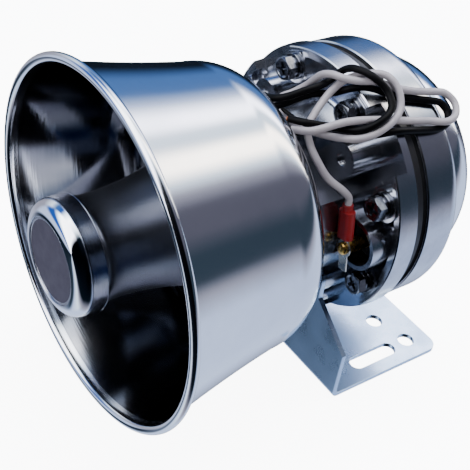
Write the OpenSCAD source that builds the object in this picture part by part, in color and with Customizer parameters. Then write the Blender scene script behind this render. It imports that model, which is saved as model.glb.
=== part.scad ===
// Re-entrant siren horn on a folded steel foot bracket.
// Lengths are millimetres. +Z is up, the mouth faces -Y, and the origin is the centre of the
// foot's underside. Depths along the horn axis are measured rearward from the mouth plane.

/* [Bell] */
// Diameter over the rolled rim of the mouth
mouth_d = 160; // [140:1:190]
// Depth from the mouth plane to the back of the bell
bell_depth = 77; // [65:1:95]
// Thickness of the spun sheet
bell_t = 1; // [0.8:0.1:1.5]
// Outer radius of the rolled rim in section
rim_roll_r = 2.1; // [1.8:0.1:3]
// Outer radius of the wall where the shoulder starts
waist_r = 65.5; // [60:0.5:70]
// Inward bow of the wall half way along
wall_bow = 0.75; // [0:0.05:1.5]
// Depth of the round shoulder along the axis
shoulder_depth = 18.5; // [10:0.5:24]
// Drop of the round shoulder towards the axis
shoulder_drop = 14.2; // [8:0.2:20]

/* [Reflector and nose cap] */
// Radius of the reflector's slim front part
reflector_r = 22.3; // [20:0.1:26]
// Radius of the reflector's open rear edge
reflector_rear_r = 36; // [32:0.5:42]
// Depth of the reflector's rear edge
reflector_rear_depth = 58; // [50:1:62]
// Wall of the reflector
reflector_t = 1.5; // [1:0.1:2.5]
// Radius of the nose cap and of the lip that it seats on
cap_r = 25; // [24:0.1:28]
// How far the nose cap's seat stands in front of the mouth plane
cap_seat_reach = 5; // [2:0.5:8]
// Length of the nose cap along the axis
cap_len = 13.2; // [11:0.1:18]
// Radius of the nose cap's rounded front edge
cap_round = 6.5; // [4:0.1:7]
// Wall of the nose cap
cap_t = 1.4; // [1:0.1:2]
// Diameter of the plain disc in the nose
nameplate_d = 36.8; // [30:0.2:37]
// Thickness of the plain disc
nameplate_t = 0.6; // [0.4:0.1:0.9]

/* [Tone arm] */
// Bore radius of the tone arm at its rear
arm_bore_r = 12.5; // [11:0.1:14]
// Bore radius of the tone arm at its open front
arm_front_r = 14.5; // [13:0.1:16]
// Wall of the tone arm
arm_t = 2; // [1.5:0.1:2.5]
// Depth of the tone arm's open front end
arm_front_depth = 16; // [12:1:24]
// Radius of the tone arm's flange
arm_flange_r = 28; // [27:0.5:30]
// Thickness of the tone arm's flange
arm_flange_t = 3; // [2.5:0.5:4]
// Thickness of the three fins that carry the centre pillar
fin_t = 2.2; // [1.6:0.1:3]
// Radius of the centre pillar
pillar_r = 4.5; // [4:0.1:5.5]

/* [Front cover] */
// Radius of the cast hub behind the bell
hub_r = 41; // [40:0.1:42]
// Distance from the axis to the flats that make room for the mounting bolts
notch_reach = 32; // [31.6:0.1:33.4]
// Width of the notches above those flats
notch_w = 31; // [28:0.5:34]
// Thickness of the hub's flange that the bell seats on
hub_flange_t = 6; // [4:0.5:8]
// Length of the hub from the bell gasket to the dished floor
hub_len = 40; // [36:0.5:50]
// Outer radius of the cover's band at its front edge
band_r = 62.7; // [62.2:0.1:64]
// Width of the band along the axis
band_w = 10.4; // [9.6:0.1:12]
// Outward taper of the band towards the rear
band_taper = 0.6; // [0:0.1:1]
// Width of the band's front lip
lip_w = 4; // [3.2:0.1:4.4]
// Thickness of the dished floor
floor_t = 4.2; // [3:0.1:5]
// Height of the mounting bosses above the floor
boss_h = 15.3; // [12:0.1:18]
// Half the sideways distance between the mounting bosses
boss_x = 27.7; // [26.8:0.1:28.4]
// Half the upright distance between the mounting bosses
boss_z = 32.5; // [31.8:0.1:33]
// Radius of a mounting boss
boss_r = 8; // [7:0.1:8.4]
// Height of the bolt pads above the floor
pad_h = 7.2; // [5:0.1:7.8]
// Radius of a bolt pad
pad_r = 7.6; // [7:0.1:8]
// Radius of the bolt circle
bolt_circle_r = 54; // [53.6:0.1:54.4]
// Number of case bolts
bolt_count = 8; // [8:1:8]
// Distance of the terminal cups from the axis
cup_reach = 46.5; // [46.2:0.1:46.7]
// Outer radius of a terminal cup
cup_r = 12; // [11.6:0.1:12.2]
// Wall of a terminal cup
cup_t = 2; // [1.6:0.1:2.4]
// Depth of the pocket in a terminal cup
cup_depth = 11.3; // [9:0.1:13]
// How far the pocket is relieved into the hub in front of the cup
cup_relief = 5; // [3:0.5:7]

/* [Driver] */
// Thickness of each gasket of the diaphragm sandwich
gasket_t = 1.5; // [1:0.1:2]
// Thickness of the diaphragm frame
frame_t = 3.7; // [3.2:0.1:5]
// Outer radius of the gaskets and the diaphragm frame
sandwich_r = 60.8; // [60:0.1:61.4]
// Outer radius of the driver case
case_r = 62.2; // [61.8:0.1:63.4]
// Length of the driver case along the axis
case_len = 19.7; // [18:0.1:24]
// Wall of the driver case
case_t = 3.2; // [2.6:0.1:3.6]
// Radius of the driver case at its rear corner
case_rear_r = 58.4; // [57.6:0.1:59.4]
// Length of the driver case's rounded rear corner
case_round_len = 6; // [3:0.1:8]
// Thickness of the front pole plate
pole_plate_t = 5.6; // [4:0.1:7]
// Outer radius of the ring magnet
magnet_r = 47; // [44:0.5:47]
// Inner radius of the ring magnet
magnet_bore_r = 31; // [29:0.5:34]
// Thickness of the ring magnet
magnet_t = 16; // [12:0.5:18]
// Thickness of the yoke plate
yoke_t = 6; // [5:0.5:7]
// Radius of the centre pole
pole_r = 24.2; // [22:0.1:25]
// Width of the air gap around the centre pole
air_gap = 2; // [1.8:0.1:2.6]
// Thickness of the coil and its former
coil_t = 0.9; // [0.6:0.1:1.1]

/* [Rear cover] */
// Thickness of the rear cover's seal
cover_seal_t = 1; // [0.6:0.1:1.5]
// Radius of the rear cover at its seat
cover_r = 53.7; // [53.2:0.1:54.4]
// Depth of the rear cover along the axis
cover_depth = 24.2; // [22:0.2:30]
// Radius of the rear cover's flat back
cover_flat_r = 36.8; // [34:0.2:40]
// Wall of the rear cover
cover_t = 1.8; // [1.4:0.1:2.2]
// Radius of the circle of rear cover screws
cover_screw_circle_r = 28; // [24:0.5:30]
// Number of rear cover screws
cover_screw_count = 4; // [3:1:6]

/* [Foot bracket] */
// Height of the horn axis above the foot's underside
axis_h = 85.5; // [84:0.5:100]
// Thickness of the bracket's steel
plate_t = 2.5; // [2:0.1:3]
// Width of the bracket
foot_w = 118; // [112:1:130]
// Length of the foot along the axis
foot_len = 71.3; // [66:0.1:90]
// Outer radius of the bend
bend_r = 4; // [3.5:0.1:6]
// Corner radius of the foot
foot_corner_r = 6; // [3:0.5:8]
// Height of the upright's straight sides above the foot's underside
upright_side_h = 28; // [22:0.5:32]
// Gap between the upright's arc and the hub
hub_gap = 1; // [0.6:0.1:1.6]
// Diameter of the four round mounting holes
mount_hole_d = 8.4; // [6.4:0.1:9]
// Half the distance between the inner holes
inner_hole_x = 29; // [26:0.5:32]
// Distance of the inner holes behind the foot's centre
inner_hole_y = 17.2; // [14:0.2:20]
// Half the distance between the outer holes
outer_hole_x = 47.6; // [44:0.2:49]
// Distance of the outer holes behind the foot's centre
outer_hole_y = 22.8; // [20:0.2:24]
// Width of the slots
slot_w = 8; // [6:0.1:8.6]
// Length of the slots from end to end
slot_len = 28; // [20:0.5:30]
// Half the distance between the slots
slot_x = 48.2; // [46:0.2:49]
// Distance of the slots in front of the foot's centre
slot_y = 0.4; // [0:0.2:4]

/* [Fasteners] */
// Thread diameter of the case bolts
case_bolt_d = 6; // [5:1:6]
// Width across the flats of the case bolts
case_bolt_af = 10; // [8:0.5:11]
// Thread diameter of the bracket bolts
bracket_bolt_d = 8; // [6:1:8]
// Width across the flats of the bracket bolts
bracket_bolt_af = 13; // [10:0.5:14]
// Thread diameter of the small screws
small_screw_d = 5; // [4:0.5:5]
// Thread diameter of the rear cover screws
cover_screw_d = 4; // [3:0.5:5]
// Radial clearance of a bolt in its plain hole
hole_clear = 0.3; // [0.2:0.05:0.5]

/* [Terminals and leads] */
// Radius of the brass terminal posts
post_r = 3.2; // [2.6:0.1:3.6]
// Width of the double tabs
tab_w = 4.8; // [4:0.1:6.3]
// Thickness of the double tabs
tab_t = 0.8; // [0.6:0.1:1]
// Direction of the pushed-on tab, from sideways towards up and inward
tab_angle = 100; // [92:1:101]
// Height of the terminal posts above the cup's rim
post_rise = 5.3; // [4:0.1:6.5]
// Length of the insulating sleeves
sleeve_len = 16; // [14:0.5:20]
// Width of the insulating sleeves
sleeve_w = 8; // [7.4:0.1:9]
// Thickness of the insulating sleeves
sleeve_t = 5; // [4.6:0.1:5.6]
// Diameter of each lead
lead_d = 3.2; // [2.6:0.1:3.4]

/* [Hidden] */
$fn = 96;

// Cuts run past the faces they open by this much.
cut = 1;
// Small running or sliding clearance between seated round parts.
fit_clear = 0.2;

// Depths behind the mouth plane, from the front to the rear.
seat_depth = -cap_seat_reach;
back_wall_depth = bell_depth - bell_t;
hub_depth = bell_depth + 1;
floor_depth = hub_depth + hub_len;
cover_rear_depth = floor_depth + floor_t;
lip_depth = cover_rear_depth - band_w;
boss_depth = floor_depth - boss_h;
pad_depth = floor_depth - pad_h;
frame_depth = cover_rear_depth + gasket_t;
frame_rear_depth = frame_depth + frame_t;
case_depth = frame_rear_depth + gasket_t;
pole_plate_rear_depth = case_depth + pole_plate_t;
yoke_depth = pole_plate_rear_depth + magnet_t;
yoke_rear_depth = yoke_depth + yoke_t;
case_rear_depth = case_depth + case_len;
cover_seat_depth = case_rear_depth + cover_seal_t;
cover_back_depth = cover_seat_depth + cover_depth;
mouth_reach = boss_depth - plate_t + foot_len/2;

// Radii that follow from the driving sizes.
mouth_r = mouth_d/2;
wall_front_r = mouth_r - 2*rim_roll_r + bell_t;
nameplate_r = nameplate_d/2;
boss_reach = norm([boss_x, boss_z]);
boss_angle = atan2(boss_z, boss_x);
boss_angles = [boss_angle, 180 - boss_angle, 180 + boss_angle, -boss_angle];
bolt_angles = [for (k = [0:bolt_count - 1]) (k + 0.5)*360/bolt_count];
bell_bolt_circle_r = 22;
bell_bolt_count = 4;
gasket_inner_r = 49;
coil_r = pole_r + (air_gap - coil_t)/2;
case_shank_r = case_bolt_d/2;
bracket_shank_r = bracket_bolt_d/2;
small_shank_r = small_screw_d/2;
cover_shank_r = cover_screw_d/2;
// A tapped hole is drawn at this share of its thread's radius.
tap_ratio = 0.85;

// Points of a round or elliptical arc about c.
function arc(c, rx, ry, a0, a1, n) =
    [for (i = [0:n]) let (a = a0 + (a1 - a0)*i/n) [c[0] + rx*cos(a), c[1] + ry*sin(a)]];
function backwards(list) = [for (i = [len(list) - 1:-1:0]) list[i]];

// Stands a part that was drawn along +Z on the horn axis, with its depth running rearward.
module on_axis() {
    translate([0, -mouth_reach, axis_h]) rotate([-90, 0, 0]) children();
}
// Places children at an angle up from +X, a distance from the axis and a depth.
module polar(angle, reach, depth = 0) {
    translate([reach*cos(angle), -reach*sin(angle), depth]) rotate([0, 0, -angle]) children();
}
module turned(points) {
    rotate_extrude() polygon(points);
}
module ring(inner_r, outer_r, thickness) {
    difference() {
        cylinder(r = outer_r, h = thickness);
        translate([0, 0, -cut]) cylinder(r = inner_r, h = thickness + 2*cut);
    }
}
// Hexagon head on the side towards the mouth, with its corners turned off.
module hex_head(af, height) {
    corner_r = af/2/cos(30);
    intersection() {
        translate([0, 0, -height]) cylinder(r = corner_r, h = height, $fn = 6);
        translate([0, 0, -height]) cylinder(r1 = af/2, r2 = af/2 + 2*height, h = height + cut);
    }
}
module hex_bolt(d, af, head_h, length) {
    hex_head(af, head_h);
    cylinder(d = d, h = length);
}
module pan_screw(d, head_r, head_h, length) {
    turned(concat([[0, 0]], [[0, -head_h]], arc([0, -head_h*0.4], head_r, head_h*0.6, -80, 0, 6), [[head_r, 0]]));
    cylinder(d = d, h = length);
}
// Spring washer with its split.
module spring_washer(inner_r, outer_r, thickness) {
    split = 0.8;
    difference() {
        ring(inner_r, outer_r, thickness);
        rotate([0, 0, 40]) translate([0, -split/2, -cut]) cube([outer_r + cut, split, thickness + 2*cut]);
    }
}

// Spun horn

// Outer radius of the bell's wall a share s of the way from the rim to the shoulder.
function wall_r(s) = wall_front_r + (waist_r - wall_front_r)*s - wall_bow*4*s*(1 - s);
module horn_bell() {
    roll_c = [mouth_r - rim_roll_r, 0];
    shoulder_start = bell_depth - shoulder_depth;
    steps = 14;
    wall = [for (i = [1:steps]) [wall_r(i/steps), shoulder_start*i/steps]];
    shoulder_c = [waist_r - shoulder_drop, shoulder_start];
    outside = concat(
        arc(roll_c, rim_roll_r - bell_t, rim_roll_r - bell_t, 100, -180, 20), wall,
        arc(shoulder_c, shoulder_drop, shoulder_depth, 9, 90, 9));
    inside = concat(
        arc(roll_c, rim_roll_r, rim_roll_r, 100, -180, 20), [for (p = wall) p - [bell_t, 0]],
        arc(shoulder_c, shoulder_drop - bell_t, shoulder_depth - bell_t, 9, 90, 9));
    color("silver") on_axis() difference() {
        turned(concat(outside, [[arm_bore_r + fit_clear, bell_depth], [arm_bore_r + fit_clear, back_wall_depth]],
                      backwards(inside)));
        for (k = [0:bell_bolt_count - 1])
            polar((k + 0.5)*360/bell_bolt_count, bell_bolt_circle_r, back_wall_depth - cut)
                cylinder(r = small_shank_r + hole_clear, h = bell_t + 2*cut);
    }
}

// Outer radius of the reflector at a depth behind its slim front part.
slim_depth = 4;
function reflector_out(depth) =
    reflector_r + (reflector_rear_r - reflector_r)*pow((depth - slim_depth)/(reflector_rear_depth - slim_depth), 2);
module reflector() {
    steps = 16;
    flare = [for (i = [1:steps]) let (depth = slim_depth + (reflector_rear_depth - slim_depth)*i/steps)
             [reflector_out(depth), depth]];
    lip = backwards(arc([cap_r, slim_depth], reflector_r - cap_r, seat_depth - slim_depth, 0, 90, 8));
    inner_front = seat_depth + reflector_t;
    outside = concat(lip, flare);
    inside = [for (p = outside) if (p[1] > inner_front) p - [reflector_t, 0]];
    color("gainsboro") on_axis() difference() {
        turned(concat([[0, seat_depth]], outside, backwards(inside),
                      [[inside[0][0], inner_front], [0, inner_front]]));
        translate([0, 0, seat_depth - cut]) cylinder(r = small_shank_r + hole_clear, h = reflector_t + 2*cut);
    }
}

cap_front_depth = seat_depth - cap_len;
plate_seat_depth = cap_front_depth + nameplate_t + 0.4;
countersink_h = small_shank_r;
module nose_cap() {
    seat_r = nameplate_r + fit_clear;
    post_r_in_cap = small_shank_r + 2.5;
    round_c = [cap_r - cap_round, cap_front_depth + cap_round];
    color("silver") on_axis() difference() {
        turned(concat(
            [[0, seat_depth], [0, plate_seat_depth], [seat_r, plate_seat_depth], [seat_r, cap_front_depth]],
            arc(round_c, cap_round, cap_round, -88, 0, 12),
            [[cap_r, seat_depth], [cap_r - cap_t, seat_depth], [cap_r - cap_t, round_c[1]]],
            backwards(arc(round_c, cap_round - cap_t, cap_round - cap_t, -60, 0, 6)),
            [[post_r_in_cap, plate_seat_depth + cap_t + 0.6], [post_r_in_cap, seat_depth]]));
        translate([0, 0, cap_front_depth - cut]) cylinder(r = small_shank_r + hole_clear, h = cap_len + 2*cut);
        translate([0, 0, plate_seat_depth])
            cylinder(r1 = 2*small_shank_r + hole_clear, r2 = small_shank_r + hole_clear, h = countersink_h);
    }
}
module nameplate() {
    color("slategray") on_axis() translate([0, 0, plate_seat_depth - nameplate_t])
        cylinder(r = nameplate_r, h = nameplate_t);
}
module cap_screw() {
    pillar_grip = 16;
    color("lightsteelblue") on_axis() translate([0, 0, plate_seat_depth]) {
        cylinder(r1 = 2*small_shank_r, r2 = small_shank_r, h = countersink_h);
        cylinder(r = small_shank_r, h = seat_depth + reflector_t + pillar_grip - plate_seat_depth);
    }
}

// Cast tone arm: flange, tapered tube, and three fins that carry the centre pillar.
module throat_tube() {
    pillar_front = seat_depth + reflector_t;
    fin_len = 16;
    screw_bore_len = 18;
    root_h = 2.5;
    color("lightgray") on_axis() {
        difference() {
            turned([[arm_front_r, arm_front_depth], [arm_front_r + arm_t, arm_front_depth],
                    [arm_bore_r + arm_t, back_wall_depth - arm_flange_t - root_h],
                    [arm_bore_r + arm_t + root_h, back_wall_depth - arm_flange_t],
                    [arm_flange_r, back_wall_depth - arm_flange_t], [arm_flange_r, back_wall_depth],
                    [arm_bore_r, back_wall_depth]]);
            for (k = [0:bell_bolt_count - 1])
                polar((k + 0.5)*360/bell_bolt_count, bell_bolt_circle_r, back_wall_depth - arm_flange_t - root_h - cut)
                    cylinder(r = small_shank_r + hole_clear, h = arm_flange_t + root_h + 2*cut);
        }
        difference() {
            union() {
                translate([0, 0, pillar_front]) cylinder(r = pillar_r, h = arm_front_depth + fin_len - pillar_front);
                for (k = [0:2]) polar(90 + k*120, 0, arm_front_depth)
                    translate([0, -fin_t/2, 0]) cube([arm_front_r + arm_t/2, fin_t, fin_len]);
            }
            translate([0, 0, pillar_front - cut]) cylinder(r = small_shank_r, h = screw_bore_len + cut);
        }
    }
}
bell_screw_head_h = 2.6;
bell_screw_len = 16;
module bell_screws() {
    color("lightsteelblue") on_axis()
        for (k = [0:bell_bolt_count - 1])
            polar((k + 0.5)*360/bell_bolt_count, bell_bolt_circle_r, back_wall_depth - arm_flange_t)
                pan_screw(small_screw_d, small_screw_d*0.92, bell_screw_head_h, bell_screw_len);
}
module bell_gasket() {
    color("dimgray") on_axis() difference() {
        translate([0, 0, bell_depth]) ring(arm_bore_r + fit_clear, hub_r - 1, hub_depth - bell_depth);
        for (k = [0:bell_bolt_count - 1])
            polar((k + 0.5)*360/bell_bolt_count, bell_bolt_circle_r, bell_depth - cut)
                cylinder(r = small_shank_r + hole_clear, h = hub_depth - bell_depth + 2*cut);
    }
}

// Die-cast front cover

hub_wall = 3.5;
throat_wall = 4.5;
throat_rear_r = 10.5;
plug_seat_h = 2;
plug_r = 40;
band_inner_r = band_r - lip_w;

// Section of the hub: round, with a notch for each mounting bolt, all moved out by grow.
module hub_section(grow) {
    difference() {
        circle(r = hub_r + grow);
        for (a = boss_angles) rotate(-a) translate([notch_reach + grow, grow - notch_w/2])
            square([hub_r, notch_w - 2*grow]);
    }
}
// Straight-sided lug with a round outer end, from the hub out to reach.
module lug(angle, reach, r, face_depth) {
    root = notch_reach - hub_wall;
    polar(angle, 0, face_depth) linear_extrude(floor_depth + cut - face_depth) {
        translate([reach, 0]) circle(r = r);
        translate([root, -r]) square([reach - root, 2*r]);
    }
}
// Dished floor, hub and band as one turned body.
module cover_body() {
    fillet = 3;
    hub_edge = 0.8;
    step_w = 1.7;
    step_h = 0.6;
    turned(concat(
        [[arm_bore_r, hub_depth], [hub_r - hub_edge, hub_depth], [hub_r, hub_depth + hub_edge]],
        backwards(arc([hub_r + fillet, floor_depth - fillet], fillet, fillet, 90, 180, 6)),
        arc([band_inner_r - fillet, floor_depth - fillet], fillet, fillet, 90, 0, 6),
        [[band_inner_r, lip_depth + step_h], [band_r - step_w, lip_depth + step_h], [band_r - step_w, lip_depth],
         [band_r - 0.5, lip_depth], [band_r, lip_depth + 0.5],
         [band_r + band_taper, cover_rear_depth - 0.5], [band_r + band_taper - 0.5, cover_rear_depth],
         [plug_r + fit_clear, cover_rear_depth], [plug_r + fit_clear, cover_rear_depth - plug_seat_h],
         [throat_rear_r, cover_rear_depth - plug_seat_h]]));
}
module front_cover() {
    core_front = hub_depth + 4;
    core_rear = cover_rear_depth - plug_seat_h;
    bell_tap_len = 14;
    boss_tap_len = 14;
    color("silver") on_axis() difference() {
        union() {
            difference() {
                cover_body();
                for (a = boss_angles) polar(a, 0, hub_depth + hub_flange_t)
                    translate([notch_reach, -notch_w/2, 0]) cube([hub_r, notch_w, hub_len - hub_flange_t]);
            }
            for (a = boss_angles) lug(a, boss_reach, boss_r, boss_depth);
            for (a = [0, 180]) lug(a, cup_reach, cup_r, boss_depth);
            intersection() {
                for (a = bolt_angles) polar(a, bolt_circle_r, pad_depth)
                    cylinder(r = pad_r, h = floor_depth + cut - pad_depth);
                translate([0, 0, pad_depth - cut]) cylinder(r = band_r - lip_w/2, h = band_w + 2*cut);
            }
        }
        // Cored space between the hub's wall and the throat, with the screw pillars left standing.
        difference() {
            translate([0, 0, core_front])
                ring(arm_bore_r + throat_wall, notch_reach - hub_wall, core_rear + cut - core_front);
            for (k = [0:bell_bolt_count - 1])
                polar((k + 0.5)*360/bell_bolt_count, bell_bolt_circle_r, hub_depth)
                    cylinder(r = small_shank_r + 2.2, h = bell_tap_len + 3);
        }
        for (k = [0:bell_bolt_count - 1])
            polar((k + 0.5)*360/bell_bolt_count, bell_bolt_circle_r, hub_depth - cut)
                cylinder(r = small_shank_r, h = bell_tap_len + cut);
        for (a = boss_angles) polar(a, boss_reach, boss_depth - cut)
            cylinder(r = bracket_shank_r*tap_ratio, h = boss_tap_len + cut);
        for (a = [0, 180]) {
            polar(a, cup_reach, boss_depth - cup_relief)
                cylinder(r = cup_r - cup_t, h = cup_depth + cup_relief);
            polar(a, cup_reach, boss_depth) cylinder(r = stem_r + fit_clear, h = floor_t + boss_h + cut);
        }
        for (a = bolt_angles) polar(a, bolt_circle_r, pad_depth - cut)
            cylinder(r = case_shank_r + hole_clear, h = cover_rear_depth - pad_depth + 2*cut);
    }
}

// Case fasteners

flat_washer_t = 1.2;
spring_washer_t = 1.6;
case_head_h = 4.1;
case_bolt_len = 34;
case_head_depth = pad_depth - flat_washer_t - spring_washer_t;
module case_bolts() {
    color("lightsteelblue") on_axis()
        for (a = bolt_angles) polar(a, bolt_circle_r, case_head_depth)
            hex_bolt(case_bolt_d, case_bolt_af, case_head_h, case_bolt_len);
}
module case_spring_washers() {
    color("lightsteelblue") on_axis()
        for (a = bolt_angles) polar(a, bolt_circle_r, case_head_depth)
            spring_washer(case_shank_r + fit_clear, case_bolt_af/2 - 0.1, spring_washer_t);
}
module case_flat_washers() {
    color("lightsteelblue") on_axis()
        for (a = bolt_angles) polar(a, bolt_circle_r, pad_depth - flat_washer_t)
            ring(case_shank_r + fit_clear, case_bolt_af/2 + 1, flat_washer_t);
}

// Diaphragm sandwich and magnet

module bolt_holes(depth, length) {
    for (a = bolt_angles) polar(a, bolt_circle_r, depth - cut)
        cylinder(r = case_shank_r + hole_clear, h = length + 2*cut);
}
module sandwich_ring(depth, thickness) {
    on_axis() difference() {
        translate([0, 0, depth]) ring(gasket_inner_r, sandwich_r, thickness);
        bolt_holes(depth, thickness);
    }
}
module front_gasket() {
    color("dimgray") sandwich_ring(cover_rear_depth, gasket_t);
}
module rear_gasket() {
    color("dimgray") sandwich_ring(frame_rear_depth, gasket_t);
}
ledge_t = 1.3;
ledge_r = 44.5;
cone_r = 46.5;
module diaphragm_frame() {
    color("darkslategray") on_axis() difference() {
        turned([[ledge_r, frame_depth], [sandwich_r, frame_depth], [sandwich_r, frame_rear_depth],
                [cone_r, frame_rear_depth], [cone_r, frame_depth + ledge_t], [ledge_r, frame_depth + ledge_t]]);
        bolt_holes(frame_depth, frame_t);
    }
}
dome_h = 4;
dome_t = 0.4;
diaphragm_depth = frame_depth + ledge_t;
// Radius of the sphere that the dome is part of.
dome_sphere_r = (coil_r*coil_r + dome_h*dome_h)/(2*dome_h);
function dome_depth(r, lift) = diaphragm_depth - lift - (sqrt(dome_sphere_r*dome_sphere_r - r*r) - (dome_sphere_r - dome_h));
module diaphragm() {
    steps = 10;
    front = [for (i = [0:steps]) let (r = coil_r*i/steps) [r, dome_depth(r, 0)]];
    color("sienna") on_axis() turned(concat(
        front, [[cone_r - fit_clear, diaphragm_depth], [cone_r - fit_clear, diaphragm_depth + dome_t]],
        [for (p = backwards(front)) p + [0, dome_t]]));
}
// Plug with a ring slot, bridged by three webs, and a cone that points into the throat.
module phase_plug() {
    plug_front = cover_rear_depth - plug_seat_h;
    cone_len = 14;
    plug_gap = 0.8;
    slot_r = throat_rear_r - 3;
    plug_slot_w = 2;
    web_w = 2;
    steps = 8;
    plug_rear = cover_rear_depth + 1;
    color("goldenrod") on_axis() difference() {
        turned(concat(
            [[0, plug_front - cone_len], [throat_rear_r - 4, plug_front], [plug_r, plug_front],
             [plug_r, plug_rear], [coil_r, plug_rear]],
            [for (i = [steps:-1:0]) let (r = coil_r*i/steps) [r, min(plug_rear, dome_depth(r, plug_gap))]]));
        difference() {
            translate([0, 0, plug_front - cut]) ring(slot_r, slot_r + plug_slot_w, plug_rear - plug_front + 2*cut);
            for (k = [0:2]) polar(k*120, 0, plug_front - 2*cut) translate([0, -web_w/2, 0])
                cube([plug_r, web_w, plug_rear - plug_front + 4*cut]);
        }
    }
}
module voice_coil() {
    color("peru") on_axis() translate([0, 0, diaphragm_depth + dome_t])
        ring(coil_r, coil_r + coil_t, case_depth + pole_plate_t - diaphragm_depth - dome_t);
}
pole_plate_r = case_r - case_t - 1.2;
module pole_plate() {
    color("gray") on_axis() difference() {
        translate([0, 0, case_depth]) ring(pole_r + air_gap, pole_plate_r, pole_plate_t);
        bolt_holes(case_depth, pole_plate_t);
    }
}
module ring_magnet() {
    color("darkslategray") on_axis() translate([0, 0, pole_plate_rear_depth]) ring(magnet_bore_r, magnet_r, magnet_t);
}
module yoke() {
    vent_r = 5;
    tap_len = yoke_t - 1;
    color("gray") on_axis() difference() {
        union() {
            translate([0, 0, yoke_depth]) cylinder(r = magnet_r, h = yoke_t);
            translate([0, 0, case_depth]) cylinder(r = pole_r, h = yoke_depth - case_depth + cut);
        }
        translate([0, 0, case_depth - cut]) cylinder(r = vent_r, h = yoke_rear_depth - case_depth + 2*cut);
        for (k = [0:cover_screw_count - 1])
            polar((k + 0.5)*360/cover_screw_count, cover_screw_circle_r, yoke_rear_depth - tap_len)
                cylinder(r = cover_shank_r, h = tap_len + cut);
    }
}
// Case with an inner lug for each bolt and a rear wall that the cover seats on.
module driver_case() {
    rear_wall = 3;
    lug_r = 5.8;
    rear_opening_r = magnet_r + 1.4;
    tap_len = case_head_depth + case_bolt_len + 1 - pole_plate_rear_depth;
    color("silver") on_axis() difference() {
        union() {
            turned(concat(
                [[pole_plate_r + fit_clear, case_depth], [case_r - 0.6, case_depth], [case_r, case_depth + 0.6]],
                arc([case_rear_r, case_rear_depth - case_round_len], case_r - case_rear_r, case_round_len, 0, 90, 7),
                [[rear_opening_r, case_rear_depth], [rear_opening_r, case_rear_depth - rear_wall],
                 [case_r - case_t - 1, case_rear_depth - rear_wall],
                 [case_r - case_t - 1, pole_plate_rear_depth], [pole_plate_r + fit_clear, pole_plate_rear_depth]]));
            intersection() {
                for (a = bolt_angles) polar(a, bolt_circle_r, pole_plate_rear_depth) {
                    cylinder(r = lug_r, h = case_rear_depth - rear_wall + cut - pole_plate_rear_depth);
                    translate([0, -lug_r]) cube([lug_r, 2*lug_r, case_rear_depth - rear_wall + cut - pole_plate_rear_depth]);
                }
                translate([0, 0, case_depth]) cylinder(r = case_r - case_t/2, h = case_len);
            }
        }
        for (a = bolt_angles) polar(a, bolt_circle_r, pole_plate_rear_depth - cut)
            cylinder(r = case_shank_r, h = tap_len + cut);
    }
}

// Rear cover

seal_w = 3.4;
module cover_seal() {
    color("dimgray") on_axis() translate([0, 0, case_rear_depth]) ring(cover_r - seal_w, cover_r + 0.6, cover_seal_t);
}
// Outline of the cover's dome for a wall that is set in by inset.
function cover_arc(inset) =
    arc([cover_flat_r, cover_seat_depth + 1], cover_r - cover_flat_r - inset, cover_depth - 1 - inset, 0, 90, 16);
module rear_cover() {
    post_r_in_cover = cover_shank_r + 2.5;
    color("silver") on_axis() difference() {
        union() {
            turned(concat([[cover_r, cover_seat_depth]], cover_arc(0),
                          [[0, cover_back_depth], [0, cover_back_depth - cover_t]],
                          backwards(cover_arc(cover_t)), [[cover_r - cover_t, cover_seat_depth]]));
            for (k = [0:cover_screw_count - 1])
                polar((k + 0.5)*360/cover_screw_count, cover_screw_circle_r, yoke_rear_depth)
                    cylinder(r = post_r_in_cover, h = cover_back_depth - cover_t/2 - yoke_rear_depth);
        }
        for (k = [0:cover_screw_count - 1])
            polar((k + 0.5)*360/cover_screw_count, cover_screw_circle_r, yoke_rear_depth - cut)
                cylinder(r = cover_shank_r + hole_clear, h = cover_back_depth - yoke_rear_depth + 2*cut);
    }
}
module cover_screws() {
    head_h = 2.2;
    grip = 4;
    color("lightsteelblue") on_axis()
        for (k = [0:cover_screw_count - 1])
            polar((k + 0.5)*360/cover_screw_count, cover_screw_circle_r, cover_back_depth)
                mirror([0, 0, 1]) pan_screw(cover_screw_d, cover_screw_d*0.95, head_h,
                                            cover_back_depth - yoke_rear_depth + grip);
}

// Terminals

insulator_t = 2.4;
stem_r = 3.4;
post_top_depth = boss_depth - post_rise;
insulator_depth = boss_depth + cup_depth - insulator_t;
terminal_head_h = 2.2;

// The near terminal, or its mirror image on the far side.
module each_terminal() {
    for (side = [0, 1]) mirror([side, 0, 0]) on_axis() polar(0, cup_reach) children();
}
module terminal_insulators() {
    stud_r = 2;
    color("black") each_terminal() difference() {
        union() {
            translate([0, 0, insulator_depth]) cylinder(r = cup_r - cup_t - 1, h = insulator_t);
            translate([0, 0, insulator_depth]) cylinder(r = stem_r, h = cover_rear_depth - insulator_depth);
        }
        translate([0, 0, insulator_depth - cut])
            cylinder(r = stud_r + 0.05, h = cover_rear_depth - insulator_depth + 2*cut);
    }
}
module terminal_posts() {
    stud_r = 2;
    rivet_t = 0.9;
    rivet_r = gasket_inner_r - cup_reach - fit_clear;
    color("goldenrod") each_terminal() difference() {
        union() {
            translate([0, 0, post_top_depth]) cylinder(r = post_r, h = insulator_depth - post_top_depth);
            translate([0, 0, insulator_depth]) cylinder(r = stud_r, h = cover_rear_depth + rivet_t - insulator_depth);
            translate([0, 0, cover_rear_depth]) cylinder(r = rivet_r, h = rivet_t);
        }
        translate([0, 0, post_top_depth - cut]) cylinder(r = 1.5, h = 6 + cut);
    }
}
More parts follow.
